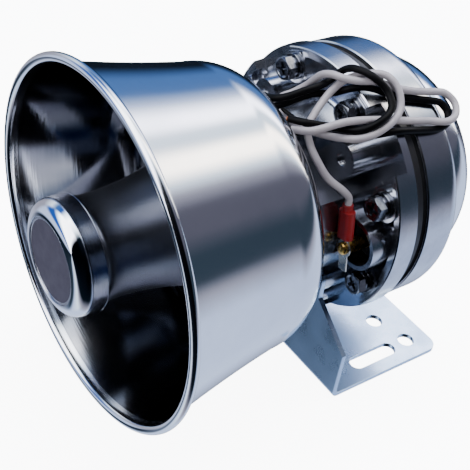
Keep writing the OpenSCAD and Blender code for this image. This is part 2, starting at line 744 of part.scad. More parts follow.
// Brass strip clamped on the post, with one blade free and one pushed into the sleeve.
eye_r = 4;
free_blade_len = 11;
sleeve_start = eye_r + 1.2;
tab_depth = post_top_depth - tab_t;
module terminal_tabs() {
    color("gainsboro") each_terminal() translate([0, 0, tab_depth]) difference() {
        rotate([0, 0, -tab_angle]) linear_extrude(tab_t) {
            circle(r = eye_r);
            translate([0, -tab_w/2]) square([sleeve_start + 8, tab_w]);
            translate([-free_blade_len, -tab_w/2]) square([free_blade_len, tab_w]);
        }
        translate([0, 0, -cut]) cylinder(r = 1.6, h = tab_t + 2*cut);
    }
}
module terminal_screws() {
    color("goldenrod") each_terminal() translate([0, 0, tab_depth]) pan_screw(3, 2.9, terminal_head_h, 6);
}
// Flattened insulating sleeve with the metal socket inside it, open at the blade's end.
module spade_sleeves() {
    blade_room = 9;
    neck_d = lead_d + 1.4;
    neck_len = 3;
    color("firebrick") each_terminal() translate([0, 0, tab_depth + tab_t/2]) rotate([0, 0, -tab_angle])
        translate([sleeve_start, 0, 0]) difference() {
            union() {
                rotate([0, 90, 0]) linear_extrude(sleeve_len - neck_len) {
                    for (side = [-1, 1]) translate([0, side*(sleeve_w - sleeve_t)/2]) circle(d = sleeve_t);
                    square([sleeve_t, sleeve_w - sleeve_t], center = true);
                }
                translate([sleeve_len - neck_len, 0, 0]) rotate([0, 90, 0]) cylinder(d = neck_d, h = neck_len);
            }
            translate([-cut, -(tab_w + 0.6)/2, -(tab_t + 0.4)/2]) cube([blade_room + cut, tab_w + 0.6, tab_t + 0.4]);
        }
}

// Leads

// Both leads are looped once around behind the bell and laid on the drum, as in the photo. Each route
// starts where the lead leaves its sleeve. Its points are x, depth behind the mouth plane and height
// over the horn axis. The turns that the bell hides, and the bare ends, are put away behind it.
lead_start = [cup_reach + (sleeve_start + sleeve_len)*cos(tab_angle), tab_depth + tab_t/2,
              (sleeve_start + sleeve_len)*sin(tab_angle)];
white_route = [
    lead_start, [42.3, 97, 23.8], [40.7, 94.4, 27.2], [36.5, 88.5, 32.5], [32, 85, 39], [26.5, 84, 44.5],
    [21.5, 85.5, 49], [18.5, 90.5, 52], [16, 96, 55], [14.5, 101.5, 58.6], [14.5, 108, 62.4],
    [18.5, 115, 66], [25, 120.5, 67.5], [31, 122.5, 64.2], [36, 121, 59.5], [39.6, 116, 56.9],
    [40.7, 108.5, 53.6], [38.8, 100.5, 50.4], [33, 95.5, 48.2], [24.8, 90.5, 46.7], [15, 86.5, 45.9],
    [7.3, 84.8, 45.5], [0.8, 85.4, 46.4], [-2.1, 89.5, 49.1], [-1.2, 94.6, 50.8], [1.5, 98.5, 54.5],
    [4.2, 100.4, 58.5], [7, 101.6, 62.3], [11.3, 103, 64.5], [16, 105, 64.9], [20.7, 109.3, 65.1],
    [24, 116, 65.2], [27.3, 124.5, 62.2], [30, 134.5, 59.7], [31.9, 144, 58.4], [33.6, 149.7, 57.4],
    [38, 152.2, 54.6], [42.3, 149.8, 51.8], [44.1, 144, 50.8], [41.4, 135, 51.6], [38.5, 123, 53],
    [35.8, 109, 55.3], [32, 96.8, 55.2], [26.3, 83.3, 50.9], [19, 79.8, 48.3]];
black_route = [
    [-lead_start[0], lead_start[1], lead_start[2]], [-42.3, 97, 23.8], [-40.6, 93.7, 27.2],
    [-35.5, 87.5, 35], [-27, 83, 41.5], [-16, 80.5, 43.8], [-6, 80, 45.8], [1.5, 81, 48.5], [6, 86, 52],
    [9, 95.5, 55.5], [12.5, 104.5, 56], [17.8, 109, 60], [22, 113.5, 61.9], [28.3, 126.5, 58.1],
    [31, 136, 56.1], [33.4, 143.5, 54.8], [34.7, 147, 53.8], [38.1, 148.8, 51.1], [41.5, 147, 48.4],
    [43, 142, 47.3], [42.5, 129, 49.2], [41.3, 115.5, 51.2], [38, 107, 49.8], [30, 99.5, 46.3],
    [20.5, 94, 43.8], [12, 92.5, 42.5], [4, 91, 42.8], [-3.8, 88.2, 44.9], [-5.8, 86, 47.2],
    [-4.8, 82.6, 50.2], [-0.5, 80.8, 52], [6.3, 83.3, 55.3], [9.6, 91, 58.4], [10.1, 99, 59.4],
    [9, 106, 60.6], [11, 109.5, 65], [17, 110.3, 68.6], [25, 113.3, 68.3], [31.5, 116.8, 64],
    [36.8, 115, 60], [39.5, 107.5, 57], [36.4, 101, 53], [28.3, 95.5, 50.5], [22.2, 84, 52.2],
    [15, 80.4, 50.8]];

// A route point moved from the horn's axis to the part's frame.
function placed(p) = [p[0], p[1] - mouth_reach, p[2] + axis_h];
function unit(v) = v/norm(v);
// Direction of a route at point i.
function heading(pts, i) = unit(pts[min(i + 1, len(pts) - 1)] - pts[max(i - 1, 0)]);
// What is left of side when it is laid square to a direction.
function squared(side, along) = unit(side - (side*along)*along);
// Side vectors carried along the route without twist.
function sides(pts, i, side) =
    let (s = squared(side, heading(pts, i))) i == len(pts) - 1 ? [s] : concat([s], sides(pts, i + 1, s));
function tube_ring(centre, side, along, r) =
    let (other = cross(along, side)) [for (k = [0:7]) centre + r*(cos(45*k)*side + sin(45*k)*other)];
module cord_tube(route, d, first_side) {
    pts = [for (p = route) placed(p)];
    side = sides(pts, 0, first_side);
    last = len(pts) - 1;
    points = [for (i = [0:last]) each tube_ring(pts[i], side[i], heading(pts, i), d/2)];
    walls = [for (i = [0:last - 1], k = [0:7]) [8*i + k, 8*i + (k + 1)%8, 8*i + 8 + (k + 1)%8, 8*i + 8 + k]];
    polyhedron(points, concat([[for (k = [7:-1:0]) k]], [[for (k = [0:7]) 8*last + k]], backwards(walls)));
}
module white_lead() {
    color("whitesmoke") cord_tube(white_route, lead_d, [0, 1, 0]);
}
module black_lead() {
    color("black") cord_tube(black_route, lead_d, [0, 1, 0]);
}

// Folded foot bracket

upright_top_round = boss_r + 0.2;
boss_height = axis_h - boss_z;
// Outline of the upright seen from the mouth, with x sideways and y the height.
module upright_outline() {
    difference() {
        union() {
            hull() {
                translate([-foot_w/2, bend_r]) square([foot_w, upright_side_h - bend_r]);
                for (side = [-1, 1]) translate([side*boss_x, boss_height - upright_top_round])
                    translate([-upright_top_round, 0]) square([2*upright_top_round, 1]);
            }
            for (side = [-1, 1]) translate([side*boss_x, 0]) {
                translate([-upright_top_round, upright_side_h]) square([2*upright_top_round, boss_height - upright_side_h]);
                translate([0, boss_height]) circle(r = upright_top_round);
            }
        }
        translate([0, axis_h]) hub_section(hub_gap);
        for (side = [-1, 1]) translate([side*boss_x, boss_height]) circle(r = bracket_shank_r + hole_clear);
    }
}
module foot_outline() {
    front = -foot_len/2 + bend_r;
    rear = foot_len/2;
    difference() {
        union() {
            translate([-foot_w/2, front]) square([foot_w, rear - front - foot_corner_r]);
            translate([-foot_w/2 + foot_corner_r, front]) square([foot_w - 2*foot_corner_r, rear - front]);
            for (side = [-1, 1]) translate([side*(foot_w/2 - foot_corner_r), rear - foot_corner_r])
                circle(r = foot_corner_r);
        }
        for (side = [-1, 1]) {
            translate([side*inner_hole_x, inner_hole_y]) circle(d = mount_hole_d);
            translate([side*outer_hole_x, outer_hole_y]) circle(d = mount_hole_d);
            for (end = [-1, 1]) translate([side*slot_x, -slot_y + end*(slot_len - slot_w)/2]) circle(d = slot_w);
            translate([side*slot_x - slot_w/2, -slot_y - (slot_len - slot_w)/2]) square([slot_w, slot_len - slot_w]);
        }
    }
}
module mounting_bracket() {
    color("lightsteelblue") {
        linear_extrude(plate_t) foot_outline();
        translate([0, -foot_len/2 + plate_t, 0]) rotate([90, 0, 0]) linear_extrude(plate_t) upright_outline();
        translate([-foot_w/2, -foot_len/2 + bend_r, bend_r]) rotate([0, 90, 0]) linear_extrude(foot_w)
            difference() {
                intersection() {
                    circle(r = bend_r);
                    translate([0, -bend_r]) square([bend_r, bend_r]);
                }
                circle(r = bend_r - plate_t);
            }
    }
}

bracket_flat_t = 1.6;
bracket_spring_t = 2;
bracket_head_h = 5.3;
bracket_bolt_len = 18;
bracket_face_depth = boss_depth - plate_t;
bracket_head_depth = bracket_face_depth - bracket_flat_t - bracket_spring_t;
lower_boss_angles = [180 + boss_angle, -boss_angle];
module bracket_bolts() {
    color("lightsteelblue") on_axis()
        for (a = lower_boss_angles) polar(a, boss_reach, bracket_head_depth)
            hex_bolt(2*bracket_shank_r*tap_ratio, bracket_bolt_af, bracket_head_h, bracket_bolt_len);
}
module bracket_spring_washers() {
    color("lightsteelblue") on_axis()
        for (a = lower_boss_angles) polar(a, boss_reach, bracket_head_depth)
            spring_washer(bracket_shank_r + fit_clear, bracket_bolt_af/2 - 0.1, bracket_spring_t);
}
module bracket_flat_washers() {
    color("lightsteelblue") on_axis()
        for (a = lower_boss_angles) polar(a, boss_reach, bracket_face_depth - bracket_flat_t)
            ring(bracket_shank_r + fit_clear, bracket_bolt_af/2 + 1.5, bracket_flat_t);
}

horn_bell();
reflector();
nose_cap();
nameplate();
cap_screw();
throat_tube();
bell_screws();
bell_gasket();
front_cover();
case_bolts();
case_spring_washers();
case_flat_washers();
front_gasket();
diaphragm_frame();
rear_gasket();
phase_plug();
diaphragm();
voice_coil();
pole_plate();
ring_magnet();
yoke();
driver_case();
cover_seal();
rear_cover();
cover_screws();
terminal_insulators();
terminal_posts();
terminal_tabs();
terminal_screws();
spade_sleeves();
white_lead();
black_lead();
mounting_bracket();
bracket_bolts();
bracket_spring_washers();
bracket_flat_washers();
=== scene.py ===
"""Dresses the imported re-entrant siren horn: spun and cast chrome, zinc hardware, two vinyl leads.

The row frame is the CAD's: +Z up, the mouth faces -Y, and the origin is the centre of the foot's underside.
Sizes are in millimetres until they reach Blender, which gets metres.
"""
import logging
import math
from dataclasses import dataclass, field
from enum import Enum
from typing import Callable, Sequence

import bmesh
import bpy
import numpy as np
from mathutils import Matrix, Vector

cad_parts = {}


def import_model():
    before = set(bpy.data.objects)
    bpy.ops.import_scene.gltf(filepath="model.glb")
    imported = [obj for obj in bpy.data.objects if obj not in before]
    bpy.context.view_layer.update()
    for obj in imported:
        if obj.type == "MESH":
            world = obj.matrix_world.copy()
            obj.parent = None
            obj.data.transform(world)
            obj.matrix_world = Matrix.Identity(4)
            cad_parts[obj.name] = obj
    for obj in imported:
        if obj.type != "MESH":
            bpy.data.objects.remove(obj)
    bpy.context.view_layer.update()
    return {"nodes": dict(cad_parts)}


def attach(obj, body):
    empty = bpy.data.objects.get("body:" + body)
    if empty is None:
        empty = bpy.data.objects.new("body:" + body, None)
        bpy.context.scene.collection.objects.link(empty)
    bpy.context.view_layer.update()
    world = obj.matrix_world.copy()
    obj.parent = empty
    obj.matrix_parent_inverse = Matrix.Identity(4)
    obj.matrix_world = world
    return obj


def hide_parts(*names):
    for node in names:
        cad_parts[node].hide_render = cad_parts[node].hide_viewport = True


MM = 0.001
# Depths run rearward from the mouth plane, and heights on the horn are measured from its axis.
MOUTH_REACH = 135.85
AXIS_H = 85.5
AXIS = Vector((0, 0, AXIS_H * MM))
# Corners within these distances, in metres, are one. WELD is for the seams of turned and CAD meshes.
WELD = 2e-6
HAIR = 1e-7
# Sockets of Blender's Mix node when it mixes colours.
MIX_FIRST, MIX_SECOND, MIX_RESULT = 6, 7, 2

Point = tuple[float, float, float]
Profile = list[tuple[float, float]]
Stops = list[tuple[float, str]]
log = logging.getLogger("siren_horn")


def on_horn(x: float, depth: float, z: float) -> Vector:
    """Turns a place on the horn into the row frame.

    Args:
        x: Sideways distance from the axis, in mm.
        depth: Distance behind the mouth plane, in mm.
        z: Height over the axis, in mm.

    Returns:
        The same place in metres.
    """
    return Vector((x, depth - MOUTH_REACH, z + AXIS_H)) * MM


def off_axis(spot: Vector) -> Vector:
    """Arm from the horn axis out to a spot, square to the axis, in metres."""
    arm = spot - AXIS
    arm.y = 0
    return arm


def around(radius: float, along: float, angle: float) -> Vector:
    """Corner at an angle around +Y, in metres, from its radius and its place along +Y in mm."""
    return Vector((radius * math.cos(angle), along, radius * math.sin(angle))) * MM


def linear(hex_colour: str) -> tuple[float, float, float, float]:
    """Turns an sRGB hex colour into the linear colour that shaders take.

    Args:
        hex_colour: Six hex digits, such as "C9CCD2".

    Returns:
        Linear red, green and blue, and an alpha of 1.
    """
    parts = [int(hex_colour[i:i + 2], 16) / 255 for i in (0, 2, 4)]
    # The curve of the sRGB standard: straight near black, and a power above that.
    red, green, blue = (c / 12.92 if c <= 0.04045 else ((c + 0.055) / 1.055) ** 2.4 for c in parts)
    return red, green, blue, 1.0


# Materials


def add_node(tree: bpy.types.NodeTree, kind: str, settings: dict | None = None,
             links: dict | None = None) -> bpy.types.Node:
    """Adds a node to a tree with its settings and its incoming links.

    Args:
        tree: The tree that gets the node.
        kind: Blender's name of the node type.
        settings: Values by socket name or number, or by property name where no socket has the name.
        links: Output sockets by the name or number of the input that they feed.

    Returns:
        The new node.
    """
    node = tree.nodes.new(kind)
    later = {}
    for key, value in (settings or {}).items():
        if isinstance(key, str) and hasattr(node, key) and key not in node.inputs:
            setattr(node, key, value)
        else:
            later[key] = value
    for key, value in later.items():
        node.inputs[key].default_value = value
    for key, source in (links or {}).items():
        tree.links.new(source, node.inputs[key])
    return node


class Grain(Enum):
    """How a finish's fine pattern lies."""

    RINGS = "rings around the horn axis"
    BRUSHED = "straight strokes along the plate"
    CAST = "soft random swell"
    PLAIN = "random specks only"


@dataclass(frozen=True)
class Finish:
    """One real material and how its surface was made.

    Attributes:
        name: The material's name in Blender.
        colour: Main sRGB colour.
        shade: sRGB colour of the worn or dusty patches.
        metallic: 1 for bare metal and plating, and 0 or nearly so for the rest.
        roughness: Roughness of the cleanest places.
        rougher: Roughness of the most worn or dusty places.
        grain: Which way the fine pattern lies.
        pitch: Distance between the pattern's lines or specks, in mm.
        relief: Height of the pattern in the bump, in mm.
        patch: Size of the patches of colour and wear, in mm.
        ior: Index of refraction; None keeps Blender's own, as every metal does.
        through: How much light passes through the body.
        edge: sRGB tint of the reflection at a low angle.
    """

    name: str
    colour: str
    shade: str
    metallic: float = 1.0
    roughness: float = 0.1
    rougher: float = 0.2
    grain: Grain = Grain.PLAIN
    pitch: float = 1.0
    relief: float = 0.01
    patch: float = 20.0
    ior: float | None = None
    through: float = 0.0
    edge: str = "FFFFFF"

    def build(self) -> bpy.types.Material:
        """Makes the material, or returns it if it was made before."""
        made = bpy.data.materials.get(self.name)
        if made:
            return made
        material = bpy.data.materials.new(self.name)
        material.use_nodes = True
        tree = material.node_tree
        tree.nodes.clear()
        place = add_node(tree, "ShaderNodeTexCoord").outputs["Object"]
        patches = self._patches(tree, place)
        colours = {"data_type": "RGBA", MIX_FIRST: linear(self.colour), MIX_SECOND: linear(self.shade)}
        colour = add_node(tree, "ShaderNodeMix", colours, {"Factor": patches})
        rough = add_node(tree, "ShaderNodeMapRange", {"To Min": self.roughness, "To Max": self.rougher},
                         {"Value": patches})
        settings = {"Metallic": self.metallic, "Transmission Weight": self.through,
                    "Specular Tint": linear(self.edge)}
        if self.ior:
            settings["IOR"] = self.ior
        shader = add_node(tree, "ShaderNodeBsdfPrincipled", settings,
                          {"Base Color": colour.outputs[MIX_RESULT], "Roughness": rough.outputs["Result"],
                           "Normal": self._bump(tree, place)})
        add_node(tree, "ShaderNodeOutputMaterial", {}, {"Surface": shader.outputs["BSDF"]})
        return material

    def _patches(self, tree: bpy.types.NodeTree, place: bpy.types.NodeSocket) -> bpy.types.NodeSocket:
        """Makes the soft mask of worn and dusty places.

        Args:
            tree: The material's tree.
            place: Object coordinates.

        Returns:
            A factor from 0 to 1.
        """
        noise = add_node(tree, "ShaderNodeTexNoise",
                         {"Scale": 1 / (self.patch * MM), "Detail": 5.0, "Roughness": 0.6}, {"Vector": place})
        mask = add_node(tree, "ShaderNodeMapRange", {"From Min": 0.4, "From Max": 0.72},
                        {"Value": noise.outputs["Fac"]})
        return mask.outputs["Result"]

    def _bump(self, tree: bpy.types.NodeTree, place: bpy.types.NodeSocket) -> bpy.types.NodeSocket:
        """Makes the fine relief that the surface's making left.

        Args:
            tree: The material's tree.
            place: Object coordinates.

        Returns:
            The bumped normal.
        """
        across = 1 / (self.pitch * MM)
        if self.grain is Grain.RINGS:
            height = self._ring_height(tree, place)
        elif self.grain is Grain.BRUSHED:
            # A stroke is some thirty times as long as it is wide.
            along = 0.03 / (self.pitch * MM)
            spread = add_node(tree, "ShaderNodeMapping", {"Scale": (across, along, along)}, {"Vector": place})
            height = add_node(tree, "ShaderNodeTexNoise", {"Scale": 1.0, "Detail": 4.0},
                              {"Vector": spread.outputs["Vector"]}).outputs["Fac"]
        else:
            detail = 1.0 if self.grain is Grain.CAST else 6.0
            height = add_node(tree, "ShaderNodeTexNoise", {"Scale": across, "Detail": detail},
                              {"Vector": place}).outputs["Fac"]
        bump = add_node(tree, "ShaderNodeBump", {"Strength": 1.0, "Distance": self.relief * MM},
                        {"Height": height})
        return bump.outputs["Normal"]

    def _ring_height(self, tree: bpy.types.NodeTree, place: bpy.types.NodeSocket) -> bpy.types.NodeSocket:
        """Makes rings that a spinning or turning tool leaves around the horn axis.

        Args:
            tree: The material's tree.
            place: Object coordinates.

        Returns:
            The relief's height from 0 to 1.
        """
        arm = add_node(tree, "ShaderNodeVectorMath", {"operation": "SUBTRACT", 1: AXIS}, {0: place})
        flat = add_node(tree, "ShaderNodeVectorMath", {"operation": "MULTIPLY", 1: (1, 0, 1)},
                        {0: arm.outputs[0]})
        reach = add_node(tree, "ShaderNodeVectorMath", {"operation": "LENGTH"}, {0: flat.outputs[0]})
        parts = add_node(tree, "ShaderNodeSeparateXYZ", {}, {0: place})
        along = add_node(tree, "ShaderNodeMath", {"operation": "ADD"},
                         {0: parts.outputs["Y"], 1: reach.outputs["Value"]})
        scaled = add_node(tree, "ShaderNodeMath", {"operation": "MULTIPLY", 1: 1 / (self.pitch * MM)},
                          {0: along.outputs[0]})
        line = add_node(tree, "ShaderNodeTexNoise",
                        {"noise_dimensions": "1D", "Scale": 1.0, "Detail": 3.0, "Roughness": 0.7},
                        {"W": scaled.outputs[0]})
        return line.outputs["Fac"]


# Spun steel with bright chrome, buffed in the lathe: soft, slightly streaked reflections.
SPUN_CHROME = Finish("chrome_on_spun_steel_buffed", "D9DBE0", "CBCED5", roughness=0.11, rougher=0.16,
                     grain=Grain.RINGS, pitch=1.1, relief=0.004, patch=45)
# The same sheet inside the bell, with the roller's marks left as fine rings. Its colour and edge tint are
# darker than the outside's: painted shade for the dim inside of the bell.
SPUN_CHROME_INSIDE_PAINTED_SHADE = Finish("chrome_on_spun_steel_inside_painted_shade", "85878E", "75777E", roughness=0.07, rougher=0.13,
                            grain=Grain.RINGS, pitch=2.6, relief=0.02, patch=40, edge="4E5056")
# Mirror chrome on the pressed nose cap: crisp reflections and hardly a mark.
CAP_CHROME = Finish("mirror_chrome_on_pressed_steel", "E1E3E8", "CFD2D8", roughness=0.03, rougher=0.07,
                    grain=Grain.CAST, pitch=14, relief=0.03, patch=25)
# Turned and plated reflector: broad, soft reflections across fine turning lines.
REFLECTOR_CHROME = Finish("chrome_on_turned_reflector", "C9CBD1", "B7B9C0", roughness=0.2, rougher=0.28,
                          grain=Grain.RINGS, pitch=1.1, relief=0.012, patch=30)
# Chrome over a zinc die casting: duller than the sheet, with the gentle swell of the cast skin under it.
CAST_CHROME = Finish("chrome_on_zinc_die_casting", "B4B7BE", "A2A5AD", roughness=0.18, rougher=0.28,
                     grain=Grain.CAST, pitch=5.5, relief=0.003, patch=14)
# Aluminium casting left as it came from the die: grey and a little grainy.
CAST_ALLOY = Finish("aluminium_casting_bare", "A9ABB0", "8F9197", roughness=0.32, rougher=0.5,
                    grain=Grain.CAST, pitch=0.8, relief=0.03, patch=10)
# Blue zinc plate on rolled sheet: a cool satin face with faint rolling streaks.
ZINC_SHEET = Finish("blue_zinc_plate_on_sheet", "B7CADF", "9FB6D0", roughness=0.24, rougher=0.36,
                    grain=Grain.BRUSHED, pitch=0.7, relief=0.004, patch=22)
# Bright zinc plate on headed and rolled screws: darker than the chrome round them, with small clear glints.
ZINC_SCREW = Finish("bright_zinc_plate_on_screws", "6A6D74", "4E5158", roughness=0.16, rougher=0.28,
                    grain=Grain.CAST, pitch=1.2, relief=0.004, patch=3)
# Satin enamel on the bare disc in the nose: plain dark grey with a soft shine.
LABEL_ENAMEL = Finish("satin_enamel_on_aluminium", "453F50", "3A3544", metallic=0.1, roughness=0.42,
                      rougher=0.52, pitch=0.5, relief=0.004, patch=9)
# Aluminium edge of the disc, left bare: a thin bright line.
LABEL_RIM = Finish("bare_aluminium_edge", "C9C7CC", "B5B3B9", roughness=0.22, rougher=0.32, pitch=0.6,
                   relief=0.004)
# Pressed fibre gasket: matt black. The low index keeps its edge from shining at a low angle.
FIBRE = Finish("pressed_fibre_gasket", "0B0B0D", "060607", metallic=0.0, roughness=0.75, rougher=0.9,
               pitch=0.6, relief=0.02, patch=6, ior=1.2)
# Phenolic moulding: black with a faint gloss.
PHENOLIC = Finish("phenolic_moulding", "0D0D10", "08080A", metallic=0.0, roughness=0.42, rougher=0.55,
                  pitch=0.5, relief=0.008, patch=6, ior=1.5)
# Phenolic cloth of the diaphragm, pressed and cured: dull brown.
PHENOLIC_CLOTH = Finish("phenolic_cloth_pressed", "8A5B2E", "734A24", metallic=0.0, roughness=0.45,
                        rougher=0.6, pitch=0.4, relief=0.03, patch=8, ior=1.55)
# Nylon moulding of the plug in its natural colour: creamy and dull.
NYLON = Finish("nylon_moulding_natural", "C9B98A", "B8A878", metallic=0.0, roughness=0.4, rougher=0.5,
               pitch=0.7, relief=0.01, ior=1.53)
# Enamelled copper wire of the coil: red-brown with a soft gleam.
COPPER = Finish("enamelled_copper_wire", "B4653A", "94502C", roughness=0.25, rougher=0.35, pitch=0.4,
                relief=0.03)
# Turned steel with a thin zinc plate: grey satin with turning lines.
TURNED_STEEL = Finish("turned_steel_zinc_flash", "9B9DA2", "83858A", roughness=0.3, rougher=0.42,
                      grain=Grain.RINGS, pitch=0.8, relief=0.01)
# Sintered ferrite: dull near-black.
FERRITE = Finish("sintered_ferrite", "2A2A2D", "202023", metallic=0.0, roughness=0.6, rougher=0.75,
                 pitch=0.7, relief=0.02, ior=2.0)
# Brass turned from bar and lightly tarnished: warm, with brown patches.
BRASS = Finish("turned_brass", "C8A45A", "A07C3A", roughness=0.2, rougher=0.4, grain=Grain.CAST, pitch=1.0,
               relief=0.02, patch=2.5)
# Tinned brass strip, stamped: pale and slightly dull.
TINNED_STRIP = Finish("tinned_brass_strip", "D6D3C8", "B9B5A6", roughness=0.22, rougher=0.4,
                      grain=Grain.BRUSHED, pitch=0.4, relief=0.008, patch=3)
# Soft vinyl sleeve, dip-moulded: deep red with a soft gloss, and a little translucent.
RED_VINYL = Finish("red_vinyl_sleeve_dipped", "740509", "5E0306", metallic=0.0, roughness=0.42, rougher=0.5,
                   grain=Grain.CAST, pitch=2.2, relief=0.03, patch=4, ior=1.5, through=0.1)
# Extruded vinyl insulation in white: smooth, with a soft gloss. Its colour is set low for the strong light.
WHITE_VINYL = Finish("white_vinyl_insulation", "858187", "76727A", metallic=0.0, roughness=0.5, rougher=0.6,
                     pitch=1.4, relief=0.006, patch=7, ior=1.5)
# Extruded vinyl insulation in black: smooth and dull, and the low index leaves only a weak line of gloss.
BLACK_VINYL = Finish("black_vinyl_insulation", "040405", "070709", metallic=0.0, roughness=0.4, rougher=0.5,
                     pitch=1.4, relief=0.004, patch=7, ior=1.14)
# Stranded copper at the cut ends, left bare: bright orange-brown.
BARE_COPPER = Finish("bare_copper_strands", "C9794A", "A35C36", roughness=0.22, rougher=0.35, pitch=0.5,
                     relief=0.01)


# Mesh helpers


def in_scene(name: str, data: bpy.types.ID) -> bpy.types.Object:
    """Puts data into the scene as one object at the origin."""
    item = bpy.data.objects.new(name, data)
    bpy.context.scene.collection.objects.link(item)
    return item


def as_piece(name: str, mesh: bpy.types.Mesh, finish: Finish) -> bpy.types.Object:
    """Puts a mesh into the scene as one piece of one finish.

    Args:
        name: The piece's name.
        mesh: Its mesh, with its place in the vertices.
        finish: Its material.

    Returns:
        The new object.
    """
    mesh.materials.clear()
    mesh.materials.append(finish.build())
    return in_scene(name, mesh)


def hand_over(piece: bpy.types.Object, slot: str, *nodes: str) -> None:
    """Makes a finished piece ride on the horn and stand for its CAD nodes.

    Args:
        piece: The finished piece.
        slot: The record's material slot of the piece. Not used.
        nodes: The CAD nodes that it stands for.
    """
    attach(piece, "root")
    if nodes:
        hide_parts(*nodes)
    log.info("%s: %d faces", piece.name, len(piece.data.polygons))


def arc(centre: tuple[float, float], radii: tuple[float, float], start: float, end: float,
        steps: int) -> Profile:
    """Points of an elliptical arc in a profile.

    Args:
        centre: Centre as distance from the axis and depth.
        radii: Radii across and along the axis.
        start: First angle in degrees.
        end: Last angle in degrees.
        steps: Number of spans.

    Returns:
        The arc's points.
    """
    angles = [math.radians(start + (end - start) * i / steps) for i in range(steps + 1)]
    return [(centre[0] + radii[0] * math.cos(a), centre[1] + radii[1] * math.sin(a)) for a in angles]


def bake(piece: bpy.types.Object) -> bpy.types.Object:
    """Turns the result of a piece's modifiers into its plain mesh.

    Args:
        piece: A piece with live modifiers.

    Returns:
        The same piece without modifiers.
    """
    graph = bpy.context.evaluated_depsgraph_get()
    mesh = bpy.data.meshes.new_from_object(piece.evaluated_get(graph))
    piece.modifiers.clear()
    old = piece.data
    piece.data = mesh
    bpy.data.meshes.remove(old)
    return piece


def smoothed(mesh: bpy.types.Mesh, angle: float) -> None:
    """Shades a mesh smooth but keeps the edges that are sharper than an angle.

    Args:
        mesh: The mesh to shade.
        angle: Smallest angle of a kept edge, in degrees.
    """
    mesh.shade_smooth()
    mesh.set_sharp_from_angle(angle=math.radians(angle))


class GeometryTree:
    """One Geometry Nodes tree with named inputs, built in the script."""

    def __init__(self, name: str) -> None:
        """Starts an empty tree with a geometry in and out."""
        self.tree = bpy.data.node_groups.new(name, "GeometryNodeTree")
        self.tree.interface.new_socket("Geometry", in_out="OUTPUT", socket_type="NodeSocketGeometry")
        self.tree.interface.new_socket("Geometry", in_out="INPUT", socket_type="NodeSocketGeometry")
        self.entry = self.tree.nodes.new("NodeGroupInput")

    def value(self, name: str, kind: str) -> bpy.types.NodeSocket:
        """Adds a named input and returns its socket inside the tree."""
        self.tree.interface.new_socket(name, in_out="INPUT", socket_type=kind)
        return self.entry.outputs[name]

    def add(self, kind: str, settings: dict | None = None, links: dict | None = None) -> bpy.types.Node:
        """Adds a node to this tree."""
        return add_node(self.tree, kind, settings, links)

    def end(self, geometry: bpy.types.NodeSocket, material: bpy.types.NodeSocket) -> None:
        """Ends the tree in Realize Instances and Set Material.

        Args:
            geometry: What the tree has made.
            material: The material input.
        """
        real = self.add("GeometryNodeRealizeInstances", {}, {"Geometry": geometry})
        dressed = self.add("GeometryNodeSetMaterial", {}, {"Geometry": real.outputs[0], "Material": material})
        leave = self.tree.nodes.new("NodeGroupOutput")
        self.tree.links.new(dressed.outputs[0], leave.inputs[0])

    def apply(self, name: str, mesh: bpy.types.Mesh, inputs: dict) -> bpy.types.Object:
        """Runs the tree on a mesh and bakes the result.

        Args:
            name: Name of the new piece.
            mesh: What goes into the tree.
            inputs: Values by input name.

        Returns:
            The baked piece.
        """
        piece = in_scene(name, mesh)
        modifier = piece.modifiers.new("made", "NODES")
        modifier.node_group = self.tree
        for item in self.tree.interface.items_tree:
            if item.in_out == "INPUT" and item.name in inputs:
                modifier[item.identifier] = inputs[item.name]
        return bake(piece)


